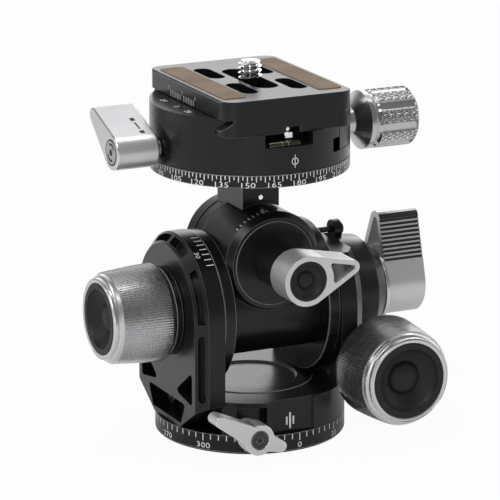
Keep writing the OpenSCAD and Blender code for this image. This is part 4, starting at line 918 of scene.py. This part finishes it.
def dished_cap(node, radius, depth, dish, length, steps, place):
    """A dished cap with a domed button. Height length is the knob's front."""
    rim, edge, button = length - 0.22, radius * 0.835, radius * 0.415
    floor, rise = length - dish, dish * 0.42
    profile = [(0, length - depth), (radius, length - depth), (radius, rim - 0.1), (radius - 0.1, rim),
               (edge, rim - 0.04)]
    profile += [(edge - (edge - button * 1.06) * t, rim - 0.04 - (rim - floor) * t ** 0.62)
                for t in (0.06, 0.16, 0.3, 0.46, 0.62, 0.78, 0.9, 1.0)]
    profile += [(button * 1.03, floor - 0.12), (button, floor + 0.02)]
    profile += [(button * math.cos(math.radians(a)), floor + 0.02 + rise * math.sin(math.radians(a)))
                for a in (12, 24, 36, 48, 60, 72, 82)]
    profile.append((0, floor + 0.02 + rise))
    marks = [0] * 4 + [1] * (len(profile) - 5)
    cap = turned(node + "_dished", profile, steps, 26, place, marks)
    finished(cap, node, ("cap", "cap_gloss"), (node,))


class HEAD_OT_knobs(bpy.types.Operator):
    """Turns the two ribbed control knobs and their dished caps"""
    bl_idname = "geared_head.knobs"
    bl_label = "Control Knobs"

    def execute(self, context):
        count, depth = sizes().rib_count, sizes().rib_depth / MM
        centre = middle("tilt_knob")
        for node, radius, length, place, metal in (
                ("tilt_knob", (TILT_KNOB_HIGH.x - TILT_KNOB_LOW.x) / 2, TILT_KNOB_HIGH.y - TILT_KNOB_LOW.y,
                 at(centre.x, TILT_KNOB_HIGH.y, centre.z, TO_FRONT), "satin_y"),
                ("roll_knob", (ROLL_KNOB_HIGH.y - ROLL_KNOB_LOW.y) / 2, ROLL_KNOB_HIGH.x - ROLL_KNOB_LOW.x,
                 at(ROLL_KNOB_HIGH.x, 0, TILT_Z, TO_LEFT), "satin_x")):
            unit = mesh_object(node + "_ribbed", *knob_sector(radius, length, count, depth))
            repeated(unit, place, metal, count=count, angle_step=2 * math.pi / count, join_distance=0.004 * MM)
            tidy(unit.data, 28, 0.002)
            back = place.inverted()
            # crest faces take the lighter satin, a painted highlight, and groove faces the darker one, painted
            # shade
            for cell in unit.data.polygons:
                x, y, z = (back @ cell.center) / MM
                if 0.9 < z < length - RIB_END - 0.05:
                    in_groove = math.hypot(x, y) < crest_at(radius, length, z) - depth * 0.6
                    cell.material_index = 2 if in_groove else 1
            finished(unit, node, (metal, "rib", "rib_groove_shade"), (node,))
            dished_cap(node + "_cap", radius - 3.74, 4.5, 3.4, length, 128, place)
        low, high = span("roll_lock_cap")
        deep = high.y - low.y
        dished_cap("roll_lock_cap", (high.x - low.x) / 2, deep, 1.7, deep, 96, at(0, high.y, ROLL_Z, TO_FRONT))
        return {"FINISHED"}


class HEAD_OT_clamp_knob(bpy.types.Operator):
    """Cuts the clamp knob's diamond knurl and smooth flutes"""
    bl_idname = "geared_head.clamp_knob"
    bl_label = "Clamp Knob"

    # Flutes: how many, their depth, half the angle each takes, and the turn that sets them as in the photo
    flutes, flute_depth, half_flute, turned_by = 8, 0.55, math.radians(9.8), 189.5
    # The knurl's rear end, how far before the front it ends, how far along a diamond reaches, and its mesh
    knurl_from, knurl_end, diamond = 36.4, 0.75, 2.3
    round_steps, long_steps = 432, 90

    def from_flute(self, turn):
        """Angle from the nearest flute's middle."""
        sector = 2 * math.pi / self.flutes
        return abs((turn + sector / 2) % sector - sector / 2)

    def cut_at(self, turn, x, knurl_to):
        """How deep the knurl's crossing grooves are here, from zero to one."""
        if self.from_flute(turn) < self.half_flute:
            return 0.0
        u, v = turn * sizes().knurl_round / (2 * math.pi), (x - self.knurl_from) / self.diamond
        a, b = (u + v) % 1.0, (u - v) % 1.0
        ridge = min(a, 1 - a, b, 1 - b) * 2
        ends = max(0.0, min(1.0, (x - self.knurl_from) / 0.3, (knurl_to - x) / 0.3))
        return (1 - min(1.0, ridge / 0.5)) ** 1.3 * ends

    def execute(self, context):
        low, high = span("clamp_knob")
        radius, knurl = (high.z - low.z) / 2, sizes().knurl_depth / MM
        start, end = self.knurl_from, high.x - self.knurl_end
        turns = [2 * math.pi * i / self.round_steps for i in range(self.round_steps)]

        def radius_at(turn, x):
            flat = self.from_flute(turn) / self.half_flute
            if flat < 1:
                return radius - self.flute_depth * math.sqrt(1 - flat ** 2) - 0.05
            return radius + 0.02 - knurl * self.cut_at(turn, x, end)

        # rings from the neck to the front, as (radius, place along X), with no radius where the knurl is
        back = [(2.7, low.x), (3.9, low.x), (3.9, 30.2), (4.3, 30.5), (radius - 0.45, 32.8), (radius, 33.1),
                (radius, 34.55), (radius - 0.2, 34.85), (radius - 0.75, 35.1), (radius - 0.8, 35.85)]
        knurled = [(None, start + (end - start) * i / self.long_steps) for i in range(self.long_steps + 1)]
        front = [(radius - 0.12, end + 0.12), (radius - 0.5, high.x - 0.12), (radius - 0.95, high.x),
                 (radius * 0.45, high.x), (radius * 0.42, high.x - 0.25), (0.4, high.x - 0.25)]
        rings = back + knurled + front
        verts = []
        for fixed, x in rings:
            for turn in turns:
                r = fixed or radius_at(turn, x)
                verts.append((r * math.cos(turn), r * math.sin(turn), x))
        faces = quads(len(rings), self.round_steps, close_columns=True)
        # faces deep in the knurl's crossing grooves take the darker satin: painted shade in the grooves
        marks = []
        for (r, x), (next_r, next_x) in zip(rings, rings[1:]):
            for turn in turns:
                between = turn + math.pi / self.round_steps
                cut = 0.0 if r or next_r else self.cut_at(between, (x + next_x) / 2, end)
                marks.append(int(cut > 0.45))
        ends = range(self.round_steps)
        faces += [tuple(len(verts) - self.round_steps + i for i in ends), tuple(reversed(ends))]
        place = at(0, 0, (high.z + low.z) / 2, Matrix.Rotation(math.radians(self.turned_by), 4, "X") @ ALONG_X)
        knob = mesh_object("clamp_knob_knurled", verts, faces, place, marks + [0, 0])
        tidy(knob.data, 24)
        finished(knob, "clamp_knob", ("satin_clamp", "satin_groove_shade"), ("clamp_knob",))
        return {"FINISHED"}


class HEAD_OT_fasteners(bpy.types.Operator):
    """Dresses the screws, the pins and the thread insert"""
    bl_idname = "geared_head.fasteners"
    bl_label = "Screws and Pins"

    def execute(self, context):
        fine = sizes().fine_edge
        for node in ("arm_screws", "housing_screws", "flange_screws", "pan_screws", "retainer_screws",
                     "base_lock_screw"):
            dress(node, ("dark_steel",), "steel", fine * 0.7)
        dress("thread_insert", ("steel",), "steel", fine)
        dress("safety_pin", ("chrome",), "chrome", fine)
        dress("jaw_pins", ("steel",), "steel", fine)
        return {"FINISHED"}


class HEAD_OT_camera_screw(bpy.types.Operator):
    """Cuts the thread of the camera screw"""
    bl_idname = "geared_head.camera_screw"
    bl_label = "Camera Screw"

    def execute(self, context):
        low, high = span("camera_screw")
        pitch = sizes().thread_pitch / MM
        root, crest, steps = 2.45, 3.15, 40
        head_r, head_high, bevel = 6.2, 2.2, 0.3
        foot, top = PLATE_HIGH.z - 0.2, high.z
        # one turn's section, as (share of the pitch, radius); the thread runs out at both ends
        section = ((0.0, root), (0.16, root), (0.42, crest), (0.58, crest), (0.84, root), (1.0, root))
        count = int((top - foot) / pitch * steps)
        verts = []
        for i in range(count + 1):
            turn = 2 * math.pi * i / steps
            base = foot + pitch * i / steps - pitch * 0.5
            full = min(1.0, i / (steps * 0.5), (count - i) / (steps * 0.6))
            for share, section_r in section:
                r = root + (section_r - root) * full
                z = min(top - 0.25, max(foot - 0.3, base + pitch * share))
                verts.append((r * math.cos(turn), r * math.sin(turn), z))
        faces = [(a, d, c, b) for a, b, c, d in quads(count + 1, len(section))]
        thread = mesh_object("camera_screw_thread", verts, faces, finish="chrome")
        tidy(thread.data, 30, outward=False)
        under = low.z + head_high
        profile = [(0, low.z), (head_r - bevel, low.z), (head_r, low.z + bevel), (head_r, under - bevel),
                   (head_r - bevel, under), (root, under), (root, foot), (root + 0.01, foot + 0.1),
                   (root + 0.01, top - 0.45), (2.3, top - 0.12), (2.0, top), (0, top)]
        core = turned("camera_screw_core", profile, 64, 30, finish="chrome")
        screw = joined("camera_screw_threaded", [thread, core])
        screw.data.shade_smooth()
        screw.data.set_sharp_from_angle(angle=math.radians(32))
        finished(screw, "camera_screw", replaces=("camera_screw",))
        return {"FINISHED"}


class HEAD_OT_pads(bpy.types.Operator):
    """Moulds the ribbed grip pads on the camera plate"""
    bl_idname = "geared_head.pads"
    bl_label = "Grip Pads"

    # Where a pad starts, its ribs, how deep they are, and the radius of its corners
    inner, ribs, rib_depth, corner = 10.4, 9, 0.17, 1.5
    # How long and how deep the top's fall at the ends is, and how much lower the two sides are
    fall, fall_depth, side_drop = 0.35, 0.12, 0.1

    def execute(self, context):
        low, high = span("plate_pads")
        columns, rows = self.ribs * 6, 26
        # each column is a loop over the top and back under the pad
        wide = 2 * (rows + 1)
        shell = quads(columns + 1, wide, close_columns=True)
        for base in (0, columns * wide):
            shell += [(base + r, base + r + 1, base + wide - 2 - r, base + wide - 1 - r) for r in range(rows)]
        verts, faces = [], []
        for side in (-1, 1):
            start = len(verts)
            for c in range(columns + 1):
                x = self.inner + (high.x - self.inner) * c / columns
                edge = min(x - self.inner, high.x - x)
                inset = self.corner - math.sqrt(max(0.0, self.corner ** 2 - max(0.0, self.corner - edge) ** 2))
                wave = abs(math.sin(math.pi * self.ribs * c / columns))
                reach = high.y - inset - 0.16 * (1 - wave)
                top = []
                for r in range(rows + 1):
                    v = -1 + 2 * r / rows
                    near_end = max(0.0, abs(v) * reach - (reach - self.fall)) / self.fall
                    z = high.z - self.rib_depth * (1 - wave) - self.fall_depth * near_end ** 2
                    top.append((side * x, v * reach, z - (self.side_drop if edge < 0.05 else 0)))
                verts += top + [(x, y, low.z + 0.02) for x, y, _ in reversed(top)]
            faces += [tuple(start + i for i in face) for face in shell]
        pads = mesh_object("plate_pads_ribbed", verts, faces)
        tidy(pads.data, 50)
        finished(pads, "plate_pads", ("pad",), ("plate_pads",))
        return {"FINISHED"}


class HEAD_OT_level(bpy.types.Operator):
    """Fills the bubble level and draws its lines"""
    bl_idname = "geared_head.level"
    bl_label = "Bubble Level"

    def execute(self, context):
        low, high = span("bubble_level")
        radius, y, z = (high.z - low.z) / 2, (high.y + low.y) / 2, (high.z + low.z) / 2
        length, rounding, half_line = high.x - low.x, 0.25, 0.08
        profile = [(0, 0)] + arc((radius - rounding, rounding), rounding, -90, 0, 4)
        profile += arc((radius - rounding, length - rounding), rounding, 0, 90, 4) + [(0, length)]
        # the vial takes the liquid painted dark, a painted shade, and the two lines the liquid painted lit
        pieces = [turned("bubble_level_vial", profile, 40, 30, at(low.x, y, z, TO_RIGHT), finish="level")]
        inner, outer = radius + 0.005, radius + PROUD
        band = [(inner, -half_line), (outer, -half_line), (outer, half_line), (inner, half_line)]
        for x in (-0.85, 0.85):
            place = at((low.x + high.x) / 2 + x, y, z, TO_RIGHT)
            pieces.append(turned("level_line", band, 40, 30, place, finish="level_line"))
        level = joined("bubble_level_glass", pieces)
        level.data.set_sharp_from_angle(angle=math.radians(30))
        finished(level, "bubble_level", replaces=("bubble_level",))
        return {"FINISHED"}


class HEAD_OT_scales(bpy.types.Operator):
    """Lays the painted scales and their numbers"""
    bl_idname = "geared_head.scales"
    bl_label = "Scales"

    # The tops of both scales' lines and the heights of their numbers, in millimetres, read from the photo
    pan_top, pan_numbers, base_top, base_numbers = 3.25, 74.62, 5.05, 1.75

    def execute(self, context):
        ring_scale("pan", "pan_scale_ring", PAN_R, -177.0, (PAN_LOW.z + self.pan_top, 1.55, 2.5, 2, 0.64),
                   (self.pan_numbers, 15))
        ring_scale("base", "base_ring", BASE_R, 5.4, (self.base_top, 2.0, 5, 6, 0.72), (self.base_numbers, 30))
        return {"FINISHED"}


class HEAD_OT_marks(bpy.types.Operator):
    """Lays the short scales, the index marks and the plain symbols"""
    bl_idname = "geared_head.marks"
    bl_label = "Index Marks"

    # The places in these steps are in millimetres and degrees, read from the photo

    def execute(self, context):
        self.short_scales()
        self.plate_and_clamp()
        self.foot_post_and_arm()
        self.pan_lever()
        return {"FINISHED"}

    def short_scales(self):
        """The tilt scale on the left arm's rim, the same behind, and the roll scale on the drum."""
        rim = span("left_arm")[1].z - TILT_Z
        line_end, number_x = -19.75, -21.15
        pieces = [repeated_by_degrees(tick_on_ring("tilt_ticks", rim, 2.1), at(line_end, 0, TILT_Z, TO_LEFT),
                                      start, 5, count=7) for start in (-43.3, 13.3)]
        pieces.append(numbers_on_ring("tilt", [("30", -56.7), ("30", -123.3)], rim, number_x,
                                      at(0, 0, TILT_Z, TO_RIGHT)))
        finished(joined("tilt_scale", pieces), "left_arm")
        unit = tick_on_ring("roll_ticks", span("tilt_housing")[1].z - ROLL_Z, 1.2)
        ticks = repeated_by_degrees(unit, at(0, -13.6, ROLL_Z, TO_FRONT), 95, 5.75, count=8)
        finished(ticks, "tilt_housing")

    def plate_and_clamp(self):
        """The ruler on the plate's left side, the numbers on the clamp's top, and its index line."""
        place = at(PLATE_LOW.x - PROUD, 10.35, 92.75, ON_LEFT_FACE)
        pitch, rulers = 1.032 * MM, []
        for height, count, every in ((1.6, 17, 1), (2.7, 3, 8)):
            unit = flat_mark("ruler_line", [stroke(0, height / 2, 0.2, height)])
            rulers.append(repeated(unit, place, count=count, line_step=(pitch * every, 0, 0)))
        finished(joined("plate_ruler", rulers), "camera_plate")
        pieces = []
        for words, x, y in (("20", -22.45, 6.45), ("0", -22.42, -1.58), ("20", -22.22, -8.46)):
            pieces.append(mesh_object("clamp_number", *flat_text(words, "clamp"),
                                      at(x, y, CLAMP_TOP + PROUD, READ_FROM_LEFT), finish="paint"))
        pieces.append(flat_mark("clamp_index", ring_pieces(1.0, 0.78) + [stroke(0, 0, 0.2, 3.6)],
                                at(0.2, -PAN_R - 0.04, 80.6, TO_FRONT)))
        finished(joined("clamp_marks", pieces), "clamp_body")

    def foot_post_and_arm(self):
        """The strokes on the foot's flat, the post's dot, and the set screw in the right arm's inner face."""
        flat = -BASE_R + 1.8
        strokes = [stroke(0, 0, 0.5, 4.5), stroke(-1, 0, 0.45, 2.3), stroke(1, 0, 0.45, 2.3)]
        marked("foot_index", "yoke_foot", strokes, at(0.35, flat - PROUD, 8.4, TO_FRONT))
        marked("post_dot", "roll_bracket", [circle(0.62)],
               at(0, span("roll_bracket")[0].y - PROUD, 66.2, TO_FRONT), "dot")
        # the set screw is two flat marks: a lighter satin ring, a painted highlight on its rim, and a near-black
        # disc, painted shade in its socket
        place = at(span("right_arm")[0].x - PROUD, -13.44, 16.57, ON_LEFT_FACE)
        screw = joined("arm_set_screw", [flat_mark("set_ring", ring_pieces(0.62, 0.4), place, "satin_edge_highlight"),
                                         flat_mark("set_hole", [circle(0.4)], place, "hollow")])
        finished(screw, "right_arm")

    def pan_lever(self):
        """The plain symbol on the panning lever, printed dark, and the recess, slots and hexagon in its cap, drawn
        as painted shade.
        """
        low, high = span("pan_lock_stud")
        z, cap = (low.z + high.z) / 2, (high.z - low.z) / 2
        out, face_out = towards(111), 4.88
        slope = Vector((0, out.z, -out.y))
        # the symbol's two ends, along X and down the lever's face
        first, last = Vector((-32.3, 0, 0)) + slope * 7.2, Vector((-31.9, 0, 0)) + slope * 1.1
        apart, along = (last - first).length, (last - first).normalized()
        place = at(*(Vector((0, 0, z)) + out * face_out + first),
                   Matrix((along, out.cross(along), out)).transposed().to_4x4())
        symbol = [stroke(0, 0, 1.3, 1.3), stroke(apart, 0, 1.3, 1.3), stroke(apart / 2, 0, apart * 0.52, 0.45)]
        # the symbol is dark print, in the same near-black finish
        marked("pan_lever_symbol", "pan_lock_lever", symbol, place, "hollow")
        # the cap's recess rim, two slots and hexagon socket are flat near-black marks: painted shade in place of
        # hollows
        shapes = ring_pieces(cap + 0.1, cap - 0.2) + [circle(cap * 0.3, 6)]
        for start in (25, 205):
            shapes += ring_pieces(cap * 0.74, cap * 0.55, start, start + 90)
        marked("pan_cap_marks", "pan_lock_stud", shapes,
               at(span("pan_lock_lever")[0].x - 0.02, 0, z, ON_LEFT_FACE), "hollow")


class HEAD_OT_inner_parts(bpy.types.Operator):
    """Gives the hidden gears, shafts and brakes their metals"""
    bl_idname = "geared_head.inner_parts"
    bl_label = "Inner Parts"

    def execute(self, context):
        by_finish = {
            "bronze": ("left_bush", "right_bush", "worm_bushes", "roll_bushes", "tilt_worm_wheel",
                       "roll_worm_wheel"),
            "fibre": ("base_brake_shoe", "pan_brake_shoe", "brake_disc"),
            "steel": ("base_lock_stud", "tilt_shaft", "tilt_worm", "tilt_lock_stud", "roll_worm",
                      "roll_lock_stud", "roll_shaft", "clamp_screw", "pan_lock_stud"),
        }
        for finish, nodes in by_finish.items():
            for node in nodes:
                mesh = frame["nodes"][node].data
                mesh.materials.clear()
                mesh.materials.append(FINISHES[finish])
        return {"FINISHED"}


# The studio

def aimed(name, data, place, target):
    """A camera or a light of the scene that looks at a point."""
    looker = link(name, data)
    looker.location = place
    looker.rotation_euler = (Vector(target) - Vector(place)).to_track_quat("-Z", "Y").to_euler()
    return looker


class HEAD_OT_stage(bpy.types.Operator):
    """Builds the floor, the lights, the room and the camera"""
    bl_idname = "geared_head.stage"
    bl_label = "Studio"

    # Where the photo was taken from and the point it looks at, solved from its ellipses and corners
    camera_at, camera_to = (-0.38338, -0.79626, 0.29133), (0.00006, -0.00003, 0.04985)

    def execute(self, context):
        scene = context.scene
        studio = scene.geared_head_studio
        scene.view_settings.view_transform = "Standard"
        data = bpy.data.cameras.new("Camera")
        data.lens = studio.lens
        data.sensor_width = 36
        data.clip_start = 0.05
        data.clip_end = 20
        scene.camera = aimed("Camera", data, self.camera_at, self.camera_to)
        self.build_floor(studio)
        self.build_room(scene, studio)
        for name, place, size, power in (
                ("Key light", (-0.5, -0.3, 0.75), (0.5, 0.5), studio.key),
                ("Fill light", (0.8, -0.3, 0.35), (0.3, 0.7), studio.fill),
                ("Front light", (-0.42, -0.85, 0.1), (0.22, 0.5), studio.front_light),
                ("Top light", (0.2, 0.05, 0.85), (0.35, 0.35), studio.top),
                ("Back light", (0.62, 1.3, 0.5), (0.9, 0.5), studio.back),
                ("Left rim", (-0.7, 0.35, 0.3), (0.18, 0.7), studio.rim),
                ("Right rim", (0.55, 0.6, 0.4), (0.18, 0.7), studio.rim)):
            light = bpy.data.lights.new(name, "AREA")
            light.shape = "RECTANGLE"
            light.size, light.size_y = size
            light.energy = power
            aimed(name, light, place, (0, 0, 0.05))
        return {"FINISHED"}

    def build_floor(self, studio):
        """A floor that is white to the camera, and to polished metal brighter behind the head than before it."""
        half = 4.0
        corners = [(-half, -half, 0), (half, -half, 0), (half, half, 0), (-half, half, 0)]
        mesh = bpy.data.meshes.new("studio_floor")
        mesh.from_pydata(corners, [], [(0, 1, 2, 3)])
        floor = link("studio_floor", mesh)
        floor.location.z = -0.02 * MM
        f = Finish("Studio floor")
        f.shade(base_color=(0.8, 0.8, 0.8, 1), roughness=0.9, specular_ior_level=0.1)
        behind = f.along(f.node("ShaderNodeTexCoord", output="Object"), (0.6, 0.8, 0.0))
        light = f.span(behind, 0.1, 0.5, studio.front, 0.85, "SMOOTHSTEP")
        seen = f.ray("Is Camera Ray") * 0.95 + f.mirrored() * light
        surface = f.node("ShaderNodeMixShader", None,
                         {0: seen, 1: Value(f, f.shader.outputs[0]), 2: f.node("ShaderNodeEmission")})
        f.put(f.tree.nodes["Material Output"].inputs["Surface"], surface)
        mesh.materials.append(f.material)

    def build_room(self, scene, studio):
        """A room whose backdrop is white and whose other sides are dim, as polished metal shows."""
        scene.world = bpy.data.worlds.new("Studio room")
        scene.world.use_nodes = True
        room = Nodes(scene.world.node_tree)
        background = room.tree.nodes["Background"]
        background.inputs["Color"].default_value = (1, 1, 1, 1)
        away = room.along(room.node("ShaderNodeTexCoord", output="Generated"), (0.41, 0.87, 0.26))
        backdrop = room.span(away, 0.55, 0.92, studio.front, 1.0, "SMOOTHSTEP")
        seen, mirrored = room.ray("Is Camera Ray"), room.mirrored()
        strength = seen + mirrored * backdrop + (1 - seen - mirrored) * studio.room
        room.put(background.inputs["Strength"], strength)


class HEAD_PT_panel(bpy.types.Panel):
    """Lists the steps that dress the head"""
    bl_idname = "HEAD_PT_panel"
    bl_label = "Geared Head"
    bl_space_type = "VIEW_3D"
    bl_region_type = "UI"
    bl_category = "Geared Head"

    def draw(self, context):
        layout = self.layout
        for step in STEPS:
            layout.operator(step.bl_idname)
        for name, _ in GROUPS:
            group, box = getattr(context.scene, name), layout.box()
            for key in group.bl_rna.properties.keys():
                if key not in ("rna_type", "name"):
                    box.prop(group, key)


STEPS = (HEAD_OT_finishes, HEAD_OT_castings, HEAD_OT_levers, HEAD_OT_knobs, HEAD_OT_clamp_knob,
         HEAD_OT_fasteners, HEAD_OT_camera_screw, HEAD_OT_pads, HEAD_OT_level, HEAD_OT_scales, HEAD_OT_marks,
         HEAD_OT_inner_parts, HEAD_OT_stage)
GROUPS = (("geared_head_sizes", HeadSizes), ("geared_head_colours", HeadColours),
          ("geared_head_studio", StudioSettings))


def register():
    for name, group in GROUPS:
        bpy.utils.register_class(group)
        setattr(bpy.types.Scene, name, PointerProperty(type=group))
    for step in STEPS:
        bpy.utils.register_class(step)
    bpy.utils.register_class(HEAD_PT_panel)


def unregister():
    bpy.utils.unregister_class(HEAD_PT_panel)
    for step in reversed(STEPS):
        bpy.utils.unregister_class(step)
    for name, group in reversed(GROUPS):
        delattr(bpy.types.Scene, name)
        bpy.utils.unregister_class(group)


def main():
    register()
    for step in STEPS:
        group, name = step.bl_idname.split(".")
        getattr(getattr(bpy.ops, group), name)()


if __name__ == "__main__":
    main()
